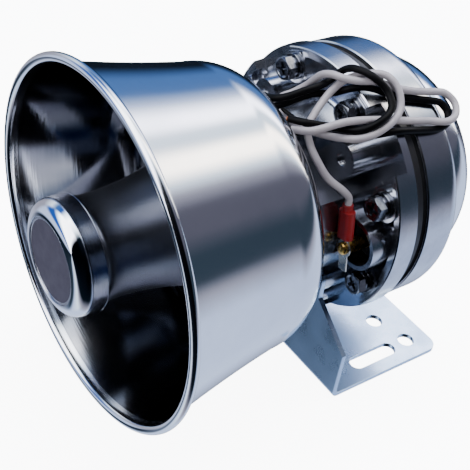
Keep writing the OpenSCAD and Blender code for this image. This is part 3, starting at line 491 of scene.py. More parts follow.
def lathe_tree() -> GeometryTree:
    """Builds the tree that turns a profile around the horn axis, as a spinning lathe does.

    Returns:
        A tree with the inputs Segments, Axis Height and Material. Its geometry is a line of points in which
        x is the distance from the axis and y the place along it.
    """
    tree = GeometryTree("turned_on_the_horn_axis")
    segments = tree.value("Segments", "NodeSocketInt")
    height = tree.value("Axis Height", "NodeSocketFloat")
    material = tree.value("Material", "NodeSocketMaterial")
    profile = tree.entry.outputs["Geometry"]
    count = tree.add("GeometryNodeAttributeDomainSize", {"component": "MESH"}, {"Geometry": profile})
    columns = tree.add("ShaderNodeMath", {"operation": "ADD", 1: 1.0}, {0: segments})
    grid = tree.add("GeometryNodeMeshGrid", {"Size X": 1.0, "Size Y": 1.0},
                    {"Vertices X": columns.outputs[0], "Vertices Y": count.outputs["Point Count"]})
    place = tree.add("ShaderNodeSeparateXYZ", {}, {0: tree.add("GeometryNodeInputPosition").outputs[0]})
    last = tree.add("ShaderNodeMath", {"operation": "SUBTRACT", 1: 1.0}, {0: count.outputs["Point Count"]})
    share = tree.add("ShaderNodeMath", {"operation": "ADD", 1: 0.5}, {0: place.outputs["Y"]})
    step = tree.add("ShaderNodeMath", {"operation": "MULTIPLY"}, {0: share.outputs[0], 1: last.outputs[0]})
    index = tree.add("ShaderNodeMath", {"operation": "ROUND"}, {0: step.outputs[0]})
    corner = tree.add("GeometryNodeSampleIndex", {"data_type": "FLOAT_VECTOR", "domain": "POINT"},
                      {"Geometry": profile, "Value": tree.add("GeometryNodeInputPosition").outputs[0],
                       "Index": index.outputs[0]})
    section = tree.add("ShaderNodeSeparateXYZ", {}, {0: corner.outputs["Value"]})
    angle = tree.add("ShaderNodeMath", {"operation": "MULTIPLY", 1: math.tau}, {0: place.outputs["X"]})
    cosine = tree.add("ShaderNodeMath", {"operation": "COSINE"}, {0: angle.outputs[0]})
    sine = tree.add("ShaderNodeMath", {"operation": "SINE"}, {0: angle.outputs[0]})
    x = tree.add("ShaderNodeMath", {"operation": "MULTIPLY"}, {0: section.outputs["X"], 1: cosine.outputs[0]})
    z = tree.add("ShaderNodeMath", {"operation": "MULTIPLY_ADD"},
                 {0: section.outputs["X"], 1: sine.outputs[0], 2: height})
    spot = tree.add("ShaderNodeCombineXYZ", {},
                    {"X": x.outputs[0], "Y": section.outputs["Y"], "Z": z.outputs[0]})
    moved = tree.add("GeometryNodeSetPosition", {},
                     {"Geometry": grid.outputs["Mesh"], "Position": spot.outputs[0]})
    closed = tree.add("GeometryNodeMergeByDistance", {"Distance": WELD}, {"Geometry": moved.outputs[0]})
    tree.end(closed.outputs[0], material)
    return tree


def ring_tree() -> GeometryTree:
    """Builds the tree that sets copies of a fastener on a circle around the horn axis.

    Returns:
        A tree with the inputs Count, Circle Radius, First Angle, Turn Step, Place and Material. Each copy is
        turned about its own axis by Turn Step times its number, as screws are when they are driven home.
    """
    tree = GeometryTree("fasteners_on_a_bolt_circle")
    count = tree.value("Count", "NodeSocketInt")
    radius = tree.value("Circle Radius", "NodeSocketFloat")
    first = tree.value("First Angle", "NodeSocketFloat")
    turn = tree.value("Turn Step", "NodeSocketFloat")
    centre = tree.value("Place", "NodeSocketVector")
    material = tree.value("Material", "NodeSocketMaterial")
    line = tree.add("GeometryNodeMeshLine", {}, {"Count": count})
    number = tree.add("GeometryNodeInputIndex")
    share = tree.add("ShaderNodeMath", {"operation": "DIVIDE"}, {0: number.outputs[0], 1: count})
    swing = tree.add("ShaderNodeMath", {"operation": "MULTIPLY_ADD", 1: math.tau},
                     {0: share.outputs[0], 2: first})
    cosine = tree.add("ShaderNodeMath", {"operation": "COSINE"}, {0: swing.outputs[0]})
    sine = tree.add("ShaderNodeMath", {"operation": "SINE"}, {0: swing.outputs[0]})
    x = tree.add("ShaderNodeMath", {"operation": "MULTIPLY"}, {0: cosine.outputs[0], 1: radius})
    z = tree.add("ShaderNodeMath", {"operation": "MULTIPLY"}, {0: sine.outputs[0], 1: radius})
    arm = tree.add("ShaderNodeCombineXYZ", {}, {"X": x.outputs[0], "Z": z.outputs[0]})
    spot = tree.add("ShaderNodeVectorMath", {"operation": "ADD"}, {0: arm.outputs[0], 1: centre})
    placed = tree.add("GeometryNodeSetPosition", {},
                      {"Geometry": line.outputs[0], "Position": spot.outputs[0]})
    twist = tree.add("ShaderNodeMath", {"operation": "MULTIPLY"}, {0: number.outputs[0], 1: turn})
    spin = tree.add("ShaderNodeCombineXYZ", {}, {"Y": twist.outputs[0]})
    copies = tree.add("GeometryNodeInstanceOnPoints", {},
                      {"Points": placed.outputs[0], "Instance": tree.entry.outputs["Geometry"],
                       "Rotation": spin.outputs[0]})
    tree.end(copies.outputs[0], material)
    return tree


def bridge(work: bmesh.types.BMesh, rings: list[list[bmesh.types.BMVert]], closed: bool = False) -> None:
    """Joins rings of corners with a skin of four-sided faces.

    Args:
        work: The mesh that gets the faces.
        rings: Rings of equally many corners, from one end to the other.
        closed: Whether the last ring is joined to the first.
    """
    onward = rings[1:] + rings[:1] if closed else rings[1:]
    for low, high in zip(rings, onward):
        for i in range(len(low)):
            j = (i + 1) % len(low)
            work.faces.new((low[i], low[j], high[j], high[i]))


def mesh_of(fill: Callable[[bmesh.types.BMesh], None], name: str) -> bpy.types.Mesh:
    """Makes a mesh with a function that fills a bmesh, with its faces pointing outwards.

    Args:
        fill: Adds the geometry.
        name: The mesh's name.

    Returns:
        The new mesh.
    """
    work = bmesh.new()
    fill(work)
    bmesh.ops.remove_doubles(work, verts=work.verts, dist=HAIR)
    bmesh.ops.recalc_face_normals(work, faces=work.faces)
    mesh = bpy.data.meshes.new(name)
    work.to_mesh(mesh)
    work.free()
    return mesh


# Sub-assemblies


@dataclass
class SpunBell:
    """The bell, spun from one disc of steel with a rolled lip.

    Sizes in mm are those of the CAD bell. The curl and the shoulder are given by the angles, in degrees, at
    which their sections start and end. A face behind lip_depth is the inside if its normal points to the axis
    by more than lean_in, or to the mouth by more than look_out.
    """

    mouth_r: float = 80.0
    roll_r: float = 2.1
    sheet: float = 1.0
    waist_r: float = 65.5
    bow: float = 0.75
    depth: float = 77.0
    shoulder_len: float = 18.5
    shoulder_drop: float = 14.2
    bore_r: float = 12.7
    lip_depth: float = 2.4
    lean_in: float = 0.05
    look_out: float = 0.7
    curl: tuple[float, float] = (100, -180)
    curl_steps: int = 40
    wall_steps: int = 40
    shoulder: tuple[float, float] = (3, 90)
    shoulder_steps: int = 28
    segments: int = 288

    def wall(self, share: float) -> float:
        """Outer radius of the wall at a share of the way from rim to shoulder."""
        front = self.mouth_r - 2 * self.roll_r + self.sheet
        return front + (self.waist_r - front) * share - self.bow * 4 * share * (1 - share)

    def skin(self, inset: float) -> Profile:
        """One side of the sheet, from the curl over the wall and the shoulder to the floor's bore.

        Args:
            inset: How far the side lies inside the sheet's outer face, in mm: 0 or the sheet's thickness.

        Returns:
            The side's points.
        """
        roll = self.roll_r - (self.sheet - inset)
        start = self.depth - self.shoulder_len
        corner = (self.waist_r - self.shoulder_drop, start)
        shares = [i / self.wall_steps for i in range(1, self.wall_steps + 1)]
        side = arc((self.mouth_r - self.roll_r, 0.0), (roll, roll), *self.curl, self.curl_steps)
        side += [(self.wall(s) - inset, start * s) for s in shares]
        side += arc(corner, (self.shoulder_drop - inset, self.shoulder_len - inset), *self.shoulder,
                    self.shoulder_steps)
        return side + [(self.bore_r, self.depth - inset)]

    def build(self, lathe: GeometryTree) -> None:
        """Turns the bell and dresses its two sides: the inside in a darker copy of the chrome, as painted
        shade.

        Args:
            lathe: The tree that turns a profile.
        """
        inside, outside = self.skin(self.sheet), self.skin(0.0)
        section = inside + outside[::-1] + [inside[0]]
        piece = spun(lathe, "spun_bell", section, SPUN_CHROME, self.segments)
        # Painted shade: the inside takes a darker copy of the same chrome, for the dim inside of the bell.
        piece.data.materials.append(SPUN_CHROME_INSIDE_PAINTED_SHADE.build())
        shaded_inner_slot = len(piece.data.materials) - 1
        lip = (self.lip_depth - MOUTH_REACH) * MM
        for face in piece.data.polygons:
            leans_in = face.normal.dot(off_axis(face.center).normalized()) < -self.lean_in
            looks_out = face.normal.y < -self.look_out
            if (leans_in or looks_out) and face.center.y > lip:
                face.material_index = shaded_inner_slot
        hand_over(piece, "chrome_spun", "horn_bell")


def spun(lathe: GeometryTree, name: str, profile: Profile, finish: Finish, segments: int) -> bpy.types.Object:
    """Turns a closed profile around the horn axis as one smooth piece.

    Args:
        lathe: The tree that turns a profile.
        name: Name of the piece.
        profile: Distance from the axis and depth, in mm.
        finish: Its material.
        segments: Number of sides.

    Returns:
        The piece, with its faces outwards and sharp edges kept.
    """
    line = bpy.data.meshes.new(name)
    points = [(r * MM, (d - MOUTH_REACH) * MM, 0.0) for r, d in profile]
    line.from_pydata(points, [(i, i + 1) for i in range(len(points) - 1)], [])
    piece = lathe.apply(name, line, {"Segments": segments, "Axis Height": AXIS_H * MM,
                                     "Material": finish.build()})
    work = bmesh.new()
    work.from_mesh(piece.data)
    bmesh.ops.dissolve_degenerate(work, edges=work.edges, dist=HAIR)
    bmesh.ops.recalc_face_normals(work, faces=work.faces)
    work.to_mesh(piece.data)
    work.free()
    smoothed(piece.data, 35)
    return piece


@dataclass
class NoseAssembly:
    """Reflector, nose cap and bare disc, in the middle of the mouth.

    Sizes in mm are those of the CAD nodes.
    """

    slim_r: float = 22.3
    rear_r: float = 36.0
    rear_depth: float = 58.0
    slim_depth: float = 4.0
    flare_steps: int = 40
    wall: float = 1.5
    lip_r: float = 25.0
    seat: float = -5.0
    cap_len: float = 13.2
    cap_round: float = 6.5
    cap_wall: float = 1.4
    disc_r: float = 18.4
    disc_t: float = 0.6
    disc_sunk: float = 0.4
    disc_gap: float = 0.2
    disc_edge: float = 0.9
    screw_r: float = 2.5
    screw_gap: float = 0.3
    post_wall: float = 2.5
    broken: float = 0.12
    rear_bevel: float = 0.25
    enamel_sunk: float = 0.06
    reflector_sides: int = 224
    cap_sides: int = 192
    disc_sides: int = 160

    def build(self, lathe: GeometryTree) -> None:
        """Turns the three pieces.

        Args:
            lathe: The tree that turns a profile.
        """
        self.reflector(lathe)
        self.cap(lathe)
        self.disc(lathe)

    def reflector(self, lathe: GeometryTree) -> None:
        """Turns the reflector: a slim neck that flares to an open rear edge."""
        run = self.rear_depth - self.slim_depth
        flare = []
        for i in range(1, self.flare_steps + 1):
            share = i / self.flare_steps
            flare.append((self.slim_r + (self.rear_r - self.slim_r) * share ** 2,
                          self.slim_depth + run * i / self.flare_steps))
        lip = arc((self.lip_r, self.slim_depth), (self.slim_r - self.lip_r, self.seat - self.slim_depth),
                  90, 0, 14)
        outside = lip + flare
        front = self.seat + self.wall
        inside = [(r - self.wall, d) for r, d in outside if d > front]
        hole = self.screw_r + self.screw_gap
        profile = [(hole, self.seat)] + outside + inside[::-1] + [(inside[0][0], front), (hole, front)]
        profile.append(profile[0])
        piece = spun(lathe, "turned_reflector", profile, REFLECTOR_CHROME, self.reflector_sides)
        hand_over(piece, "reflector_chrome", "reflector")

    def cap(self, lathe: GeometryTree) -> None:
        """Turns the nose cap with its rounded front edge and the shallow seat of the disc."""
        face = self.seat - self.cap_len
        plate = face + self.disc_t + self.disc_sunk
        seat_r = self.disc_r + self.disc_gap
        centre = (self.lip_r - self.cap_round, face + self.cap_round)
        post = self.screw_r + self.post_wall
        hole = self.screw_r + self.screw_gap
        inner = self.cap_round - self.cap_wall
        profile = [(hole, self.seat), (hole, plate + self.screw_r),
                   (2 * self.screw_r + self.screw_gap, plate), (seat_r - 0.15, plate),
                   (seat_r, plate - 0.1), (seat_r, face + self.broken), (seat_r + self.broken, face)]
        profile += arc(centre, (self.cap_round, self.cap_round), -89, 0, 24)
        profile += [(self.lip_r, self.seat - self.rear_bevel), (self.lip_r - self.rear_bevel, self.seat),
                    (self.lip_r - self.cap_wall, self.seat), (self.lip_r - self.cap_wall, centre[1])]
        profile += arc(centre, (inner, inner), 0, -60, 8)
        profile += [(post, plate + self.cap_wall + 0.6), (post, self.seat), (hole, self.seat)]
        piece = spun(lathe, "pressed_nose_cap", profile, CAP_CHROME, self.cap_sides)
        hand_over(piece, "chrome_cap", "nose_cap")

    def disc(self, lathe: GeometryTree) -> None:
        """Turns the bare disc: satin enamel inside a narrow bright edge."""
        rear = self.seat - self.cap_len + self.disc_t + self.disc_sunk
        front = rear - self.disc_t
        edge = self.disc_r - self.disc_edge
        enamel = front + self.enamel_sunk
        profile = [(0, rear), (self.disc_r, rear), (self.disc_r, front + self.broken),
                   (self.disc_r - self.broken, front), (edge, front), (edge - 0.08, enamel), (0, enamel)]
        piece = spun(lathe, "bare_nose_disc", profile, LABEL_ENAMEL, self.disc_sides)
        piece.data.materials.append(LABEL_RIM.build())
        rim_slot = len(piece.data.materials) - 1
        for face in piece.data.polygons:
            if off_axis(face.center).length > (edge - 0.1) * MM:
                face.material_index = rim_slot
        hand_over(piece, "nameplate_grey", "nameplate")


@dataclass
class LeadPair:
    """Two thin stranded leads, looped by hand behind the bell and laid on the drum.

    Each starts where it leaves its sleeve. The routes repeat the CAD's points, in mm, as x, depth behind the
    mouth plane and height over the horn axis. Seven copper strands start inside each cut end.
    """

    diameter: float = 3.2
    sides: int = 20
    steps: int = 8
    strand_r: float = 0.32
    strand_len: float = 1.6
    strand_hidden: float = 1.0
    strand_sides: int = 8
    strand_ring: int = 6
    strand_spread: float = 2.1
    start: Point = (42.8, 97.0, 20.9)
    white: list[Point] = field(default_factory=lambda: [
        (42.3, 97, 23.8), (40.7, 94.4, 27.2), (36.5, 88.5, 32.5), (32, 85, 39), (26.5, 84, 44.5),
        (21.5, 85.5, 49), (18.5, 90.5, 52), (16, 96, 55), (14.5, 101.5, 58.6), (14.5, 108, 62.4),
        (18.5, 115, 66), (25, 120.5, 67.5), (31, 122.5, 64.2), (36, 121, 59.5), (39.6, 116, 56.9),
        (40.7, 108.5, 53.6), (38.8, 100.5, 50.4), (33, 95.5, 48.2), (24.8, 90.5, 46.7), (15, 86.5, 45.9),
        (7.3, 84.8, 45.5), (0.8, 85.4, 46.4), (-2.1, 89.5, 49.1), (-1.2, 94.6, 50.8), (1.5, 98.5, 54.5),
        (4.2, 100.4, 58.5), (7, 101.6, 62.3), (11.3, 103, 64.5), (16, 105, 64.9), (20.7, 109.3, 65.1),
        (24, 116, 65.2), (27.3, 124.5, 62.2), (30, 134.5, 59.7), (31.9, 144, 58.4), (33.6, 149.7, 57.4),
        (38, 152.2, 54.6), (42.3, 149.8, 51.8), (44.1, 144, 50.8), (41.4, 135, 51.6), (38.5, 123, 53),
        (35.8, 109, 55.3), (32, 96.8, 55.2), (26.3, 83.3, 50.9), (19, 79.8, 48.3)])
    black: list[Point] = field(default_factory=lambda: [
        (-42.3, 97, 23.8), (-40.6, 93.7, 27.2), (-35.5, 87.5, 35), (-27, 83, 41.5), (-16, 80.5, 43.8),
        (-6, 80, 45.8), (1.5, 81, 48.5), (6, 86, 52), (9, 95.5, 55.5), (12.5, 104.5, 56), (17.8, 109, 60),
        (22, 113.5, 61.9), (28.3, 126.5, 58.1), (31, 136, 56.1), (33.4, 143.5, 54.8), (34.7, 147, 53.8),
        (38.1, 148.8, 51.1), (41.5, 147, 48.4), (43, 142, 47.3), (42.5, 129, 49.2), (41.3, 115.5, 51.2),
        (38, 107, 49.8), (30, 99.5, 46.3), (20.5, 94, 43.8), (12, 92.5, 42.5), (4, 91, 42.8),
        (-3.8, 88.2, 44.9), (-5.8, 86, 47.2), (-4.8, 82.6, 50.2), (-0.5, 80.8, 52), (6.3, 83.3, 55.3),
        (9.6, 91, 58.4), (10.1, 99, 59.4), (9, 106, 60.6), (11, 109.5, 65), (17, 110.3, 68.6),
        (25, 113.3, 68.3), (31.5, 116.8, 64), (36.8, 115, 60), (39.5, 107.5, 57), (36.4, 101, 53),
        (28.3, 95.5, 50.5), (22.2, 84, 52.2), (15, 80.4, 50.8)])

    def centreline(self, route: Sequence[Point]) -> np.ndarray:
        """Runs one smooth curve through a route.

        Args:
            route: Points on the horn, in mm.

        Returns:
            Points along the curve, in metres.
        """
        p = np.array([on_horn(*q) for q in route])
        ends = np.vstack([2 * p[0] - p[1], p, 2 * p[-1] - p[-2]])
        line = []
        for a, b, c, d in zip(ends[:-3], ends[1:-2], ends[2:-1], ends[3:]):
            knots = np.cumsum([0.0] + [math.sqrt(np.linalg.norm(v - u)) for u, v in ((a, b), (b, c), (c, d))])
            for t in knots[1] + (knots[2] - knots[1]) * np.arange(self.steps) / self.steps:
                line.append(self._blend((a, b, c, d), knots, t))
        line.append(p[-1])
        return np.array(line)

    @staticmethod
    def _blend(four: Sequence[np.ndarray], knots: np.ndarray, t: float) -> np.ndarray:
        """One point of a centripetal spline between the middle two of four points."""
        rows = list(four)
        for level in (((0, 1), (1, 2), (2, 3)), ((0, 2), (1, 3)), ((1, 2),)):
            rows = [((knots[j] - t) * u + (t - knots[i]) * v) / (knots[j] - knots[i])
                    for (i, j), u, v in zip(level, rows, rows[1:])]
        return rows[0]

    @staticmethod
    def tube(name: str, line: np.ndarray, radius: float, finish: Finish, sides: int) -> bpy.types.Object:
        """Sweeps a round skin with closed ends along a line.

        Args:
            name: Name of the piece.
            line: Points of the centreline, in metres.
            radius: Radius in mm.
            finish: Its material.
            sides: Number of sides.

        Returns:
            The swept piece.
        """
        along = np.gradient(line, axis=0)
        along /= np.linalg.norm(along, axis=1)[:, None]
        side = np.cross(along[0], (0.0, 0.0, 1.0))
        verts = []
        for spot, way in zip(line, along):
            side = side - way * side.dot(way)
            side /= np.linalg.norm(side)
            other = np.cross(way, side)
            for k in range(sides):
                a = math.tau * k / sides
                verts.append(spot + radius * MM * (math.cos(a) * side + math.sin(a) * other))
        faces = []
        for low in range(0, (len(line) - 1) * sides, sides):
            high = low + sides
            for k in range(sides):
                j = (k + 1) % sides
                faces.append((low + k, low + j, high + j, high + k))
        faces.append(tuple(range(sides))[::-1])
        faces.append(tuple(range((len(line) - 1) * sides, len(line) * sides)))
        mesh = bpy.data.meshes.new(name)
        mesh.from_pydata([tuple(v) for v in verts], [], faces)
        mesh.update()
        smoothed(mesh, 50)
        return as_piece(name, mesh, finish)

    def strands(self, name: str, line: np.ndarray) -> bpy.types.Object:
        """Makes the bare strands that stand a little way out of a cut end.

        Args:
            name: Name of the piece.
            line: The lead's centreline, in metres.

        Returns:
            The strands as one piece.
        """
        way = line[-1] - line[-2]
        way /= np.linalg.norm(way)
        side = np.cross(way, (0.0, 0.0, 1.0))
        side /= np.linalg.norm(side)
        other = np.cross(way, side)
        work = bmesh.new()
        for k in range(self.strand_ring + 1):
            a = math.tau * k / self.strand_ring
            arm = (math.cos(a) * side + math.sin(a) * other) * self.strand_spread
            off = arm * self.strand_r * MM if k < self.strand_ring else np.zeros(3)
            root = line[-1] + off - way * self.strand_hidden * MM
            spots = np.array([root + way * self.strand_len * MM * share for share in (0, 0.5, 1)])
            strand = self.tube(f"{name}_{k}", spots, self.strand_r, BARE_COPPER, self.strand_sides)
            work.from_mesh(strand.data)
            bpy.data.objects.remove(strand)
        mesh = bpy.data.meshes.new(name)
        work.to_mesh(mesh)
        work.free()
        return as_piece(name, mesh, BARE_COPPER)

    def build(self) -> None:
        """Makes both leads and sets them in place of their CAD nodes."""
        far_start = (-self.start[0], self.start[1], self.start[2])
        for colour, start, route, finish in (("white", self.start, self.white, WHITE_VINYL),
                                             ("black", far_start, self.black, BLACK_VINYL)):
            name, slot = f"{colour}_vinyl_lead", f"{colour}_lead_skin"
            line = self.centreline([start, *route])
            piece = self.tube(name, line, self.diameter / 2, finish, self.sides)
            tip = self.strands(f"{name}_strands", line)
            hand_over(piece, slot, f"{colour}_lead")
            hand_over(tip, slot)


@dataclass(frozen=True)
class BoltSet:
    """One circle of equal hexagon bolts, each over a spring washer and a flat washer.

    Attributes:
        name: What they hold, as the names of their CAD nodes begin.
        across: Width of the head across its flats, in mm.
        head: Height of the head, in mm.
        shank: Diameter of the shank, in mm.
        length: Length under the head, in mm.
        hole: Radius of the washers' holes, in mm.
        spring: Outer radius and thickness of a spring washer, in mm.
        flat: Outer radius and thickness of a flat washer, in mm.
        face: Depth of the face that the flat washers lie on, in mm.
        count: Number of bolts.
        circle: Radius of their circle, in mm.
        bolt_turn: How much further each bolt is turned than the one before, in radians.
        spring_turn: The same for the spring washers.
        first: Angle of the first bolt on the circle, in degrees.
        height: Height of the circle's centre over the horn axis, in mm.
        sides: Corners of each ring of a bolt's mesh.
        washer_sides: Corners of each ring of a washer's mesh.
        gap: Opening between the ends of a spring washer, in degrees.
    """

    name: str
    across: float
    head: float
    shank: float
    length: float
    hole: float
    spring: tuple[float, float]
    flat: tuple[float, float]
    face: float
    count: int
    circle: float
    bolt_turn: float
    spring_turn: float
    first: float = 0.0
    height: float = 0.0
    sides: int = 48
    washer_sides: int = 40
    gap: float = 8.0

    def section(self, angle: float) -> Profile:
        """Section of a bolt at an angle, from its tip over the head's flats to the bottom of the recess.

        Args:
            angle: Angle around the bolt, in radians.

        Returns:
            Radius and place along +Y, in mm, with the seat at 0 and the head towards -Y.
        """
        across, head, length, shank = self.across, self.head, self.length, self.shank / 2
        hexagon = across / 2 / math.cos((angle + math.pi / 6) % (math.pi / 3) - math.pi / 6)
        # The corners are turned off to a cone, the top is dished, and the recess has four arms. Small numbers
        # are shares of the width across the flats or of the head's height, and broken edges in mm.
        cone = -head + (hexagon - across / 2) * 0.62
        arm = across * 0.085 / max(min(abs(math.cos(angle)), abs(math.sin(angle))), 1e-6)
        cross = min(across * 0.3, arm)
        tip = [(0.0, length), (shank - 0.5, length), (shank, length - 0.5), (shank, 0.0)]
        flats = [(hexagon - 0.25, 0.0), (hexagon, -0.25), (hexagon, cone + 0.1), (hexagon - 0.1, cone)]
        dish = [(min(hexagon, across * 0.47), -head - 0.02), (across * 0.4, -head),
                (across * 0.36, -head + 0.25)]
        recess = [(cross * 1.04, -head + 0.3), (cross, -head + 0.4), (cross * 0.82, -head + head * 0.5),
                  (0.0, -head * 0.42)]
        return tip + flats + dish + recess

    def bolt(self) -> bpy.types.Mesh:
        """Makes one bolt, with its seat at the origin and its head towards -Y."""

        def fill(work: bmesh.types.BMesh) -> None:
            """Stacks a ring of corners for each point of the section."""
            angles = [math.tau * i / self.sides for i in range(self.sides)]
            levels = zip(*[self.section(a) for a in angles])
            bridge(work, [[work.verts.new(around(*spot, a)) for spot, a in zip(level, angles)]
                          for level in levels])

        mesh = mesh_of(fill, f"{self.name}_bolt")
        smoothed(mesh, 28)
        return mesh

    def washer(self, kind: str, outer: float, thick: float, split: bool) -> bpy.types.Mesh:
        """Makes a flat washer, or a spring washer with its ends set apart.

        Args:
            kind: Its kind, as its mesh is named.
            outer: Outer radius, in mm.
            thick: Thickness, in mm.
            split: Whether it is a spring washer.

        Returns:
            The washer with its rear face at the origin.
        """
        inner, edge = self.hole, min(0.18, thick * 0.2)
        section = [(inner, -edge), (inner + edge, 0), (outer - edge, 0), (outer, -edge),
                   (outer, edge - thick), (outer - edge, -thick), (inner + edge, -thick),
                   (inner, edge - thick)]

        def fill(work: bmesh.types.BMesh) -> None:
            """Sweeps the section around the hole."""
            gap = math.radians(self.gap) if split else 0.0
            rings = []
            for i in range(self.washer_sides + (1 if split else 0)):
                a = gap / 2 + (math.tau - gap) * i / self.washer_sides
                rings.append([work.verts.new(around(r, y, a)) for r, y in section])
            bridge(work, rings, closed=not split)
            if split:
                work.faces.new(rings[0])
                work.faces.new(rings[-1])

        mesh = mesh_of(fill, f"{self.name}_{kind}")
        smoothed(mesh, 30)
        return mesh

    def on_circle(self, ring: GeometryTree, name: str, mesh: bpy.types.Mesh, finish: Finish, place: Vector,
                  turn: float = 0.0) -> bpy.types.Object:
        """Sets copies of one shape on the circle.

        Args:
            ring: The tree that sets copies on a circle.
            name: Name of the piece.
            mesh: The shape.
            finish: Its material.
            place: Centre of the circle, in metres.
            turn: How much further each copy is turned than the one before, in radians.

        Returns:
            The copies as one piece.
        """
        made = finish.build()
        mesh.materials.append(made)
        return ring.apply(name, mesh, {"Count": self.count, "Circle Radius": self.circle * MM,
                                       "First Angle": math.radians(self.first), "Turn Step": turn,
                                       "Place": place, "Material": made})

    def build(self, ring: GeometryTree) -> None:
        """Sets the bolts and their washers in place of their CAD nodes.

        Args:
            ring: The tree that sets copies on a circle.
        """
        (spring_r, spring_t), (flat_r, flat_t) = self.spring, self.flat
        seat = self.face - flat_t - spring_t
        for kind, mesh, depth, turn in (
                ("bolt", self.bolt(), seat, self.bolt_turn),
                ("spring_washer", self.washer("spring", spring_r, spring_t, True), seat + spring_t,
                 self.spring_turn),
                ("flat_washer", self.washer("flat", flat_r, flat_t, False), self.face, 0.0)):
            name = f"{self.name}_{kind}"
            piece = self.on_circle(ring, name, mesh, ZINC_SCREW, on_horn(0, depth, self.height), turn)
            hand_over(piece, "zinc_fastener", f"{name}s")


@dataclass
class Fasteners:
    """The case bolts, the bracket bolts, and the threads in the two bosses that stand open.

    Sizes in mm are those of the CAD nodes.
    """

    case: BoltSet = BoltSet("case", across=10, head=4.1, shank=6, length=34, hole=3.2, spring=(4.9, 1.6),
                            flat=(6, 1.2), face=110.8, count=8, circle=54.0, bolt_turn=0.55,
                            spring_turn=1.9, first=22.5)
    bracket: BoltSet = BoltSet("bracket", across=13, head=5.3, shank=6.8, length=18, hole=4.2,
                               spring=(6.4, 2.0), flat=(8, 1.6), face=100.2, count=2, circle=27.7,
                               bolt_turn=0.35, spring_turn=2.2, height=-32.5)
    thread_r: float = 3.38
    thread_gap: float = 0.05
    thread_height: float = 0.45
    thread_pitch: float = 1.25
    thread_turns: int = 8
    thread_depth: float = 103.2
    thread_sides: int = 40

    def build(self, ring: GeometryTree) -> None:
        """Sets every fastener in its place.

        Args:
            ring: The tree that sets copies on a circle.
        """
        self.case.build(ring)
        self._threads(ring)
        self.bracket.build(ring)

    def _threads(self, ring: GeometryTree) -> None:
        """Lines the two open upper bosses with ribs that stand for their screw threads.

        Args:
            ring: The tree that sets copies on a circle.
        """
        outline = [(self.thread_r - self.thread_gap - self.thread_height * (i % 2), i * self.thread_pitch / 2)
                   for i in range(self.thread_turns * 2 + 1)]
        outline += [(self.thread_r, outline[-1][1]), (self.thread_r, 0.0)]

        def fill(work: bmesh.types.BMesh) -> None:
            """Turns the outline around +Y."""
            angles = [math.tau * i / self.thread_sides for i in range(self.thread_sides)]
            rings = [[work.verts.new(around(radius, along, a)) for a in angles] for radius, along in outline]
            bridge(work, rings, closed=True)

        # The open pair mirrors the bracket's pair about the horn axis.
        place = on_horn(0, self.thread_depth, -self.bracket.height)
        mesh = mesh_of(fill, "boss_thread")
        hand_over(self.bracket.on_circle(ring, "boss_threads", mesh, CAST_CHROME, place), "chrome_cast")


@dataclass(frozen=True)
class Dressed:
    """A CAD node that keeps its shape and gets broken edges, smooth faces and its real finish.

    Attributes:
        node: The CAD node.
        slot: Its material slot in the record.
        finish: Its material.
        edge: Width of the broken edges, in mm; 0 leaves the node itself in the scene.
        angle: Smallest angle of an edge that is broken, in degrees.
    """

    node: str
    slot: str
    finish: Finish
    edge: float = 0.0
    angle: float = 32.0

    def build(self, nodes: dict[str, bpy.types.Object]) -> None:
        """Dresses the node, or a copy of it with broken edges.

        Args:
            nodes: The CAD nodes by name.
        """
        source = nodes[self.node]
        if not self.edge:
            for slot in source.material_slots:
                slot.link = "OBJECT"
                slot.material = self.finish.build()
            log.info("%s dressed as it is", self.node)
            return
        mesh = source.data.copy()
        work = bmesh.new()
        work.from_mesh(mesh)
        bmesh.ops.remove_doubles(work, verts=work.verts, dist=WELD)
        # Triangles within a degree of each other are one face again, so that only real edges are broken.
        bmesh.ops.dissolve_limit(work, angle_limit=math.radians(1.0), verts=work.verts, edges=work.edges)
        work.to_mesh(mesh)
        work.free()
        piece = as_piece(f"{self.node}_finished", mesh, self.finish)
        # Without the stored normals, the new edges are shaded from the copy's own faces.
        if "custom_normal" in mesh.attributes:
            mesh.attributes.remove(mesh.attributes["custom_normal"])
        bevel = piece.modifiers.new("broken_edges", "BEVEL")
        bevel.width = self.edge * MM
        bevel.segments = 2
        bevel.limit_method = "ANGLE"
        bevel.angle_limit = math.radians(self.angle)
        bake(piece)
        smoothed(piece.data, self.angle)
        flats = piece.modifiers.new("true_flats", "WEIGHTED_NORMAL")
        flats.weight = 80
        flats.keep_sharp = True
        bake(piece)
        hand_over(piece, self.slot, self.node)


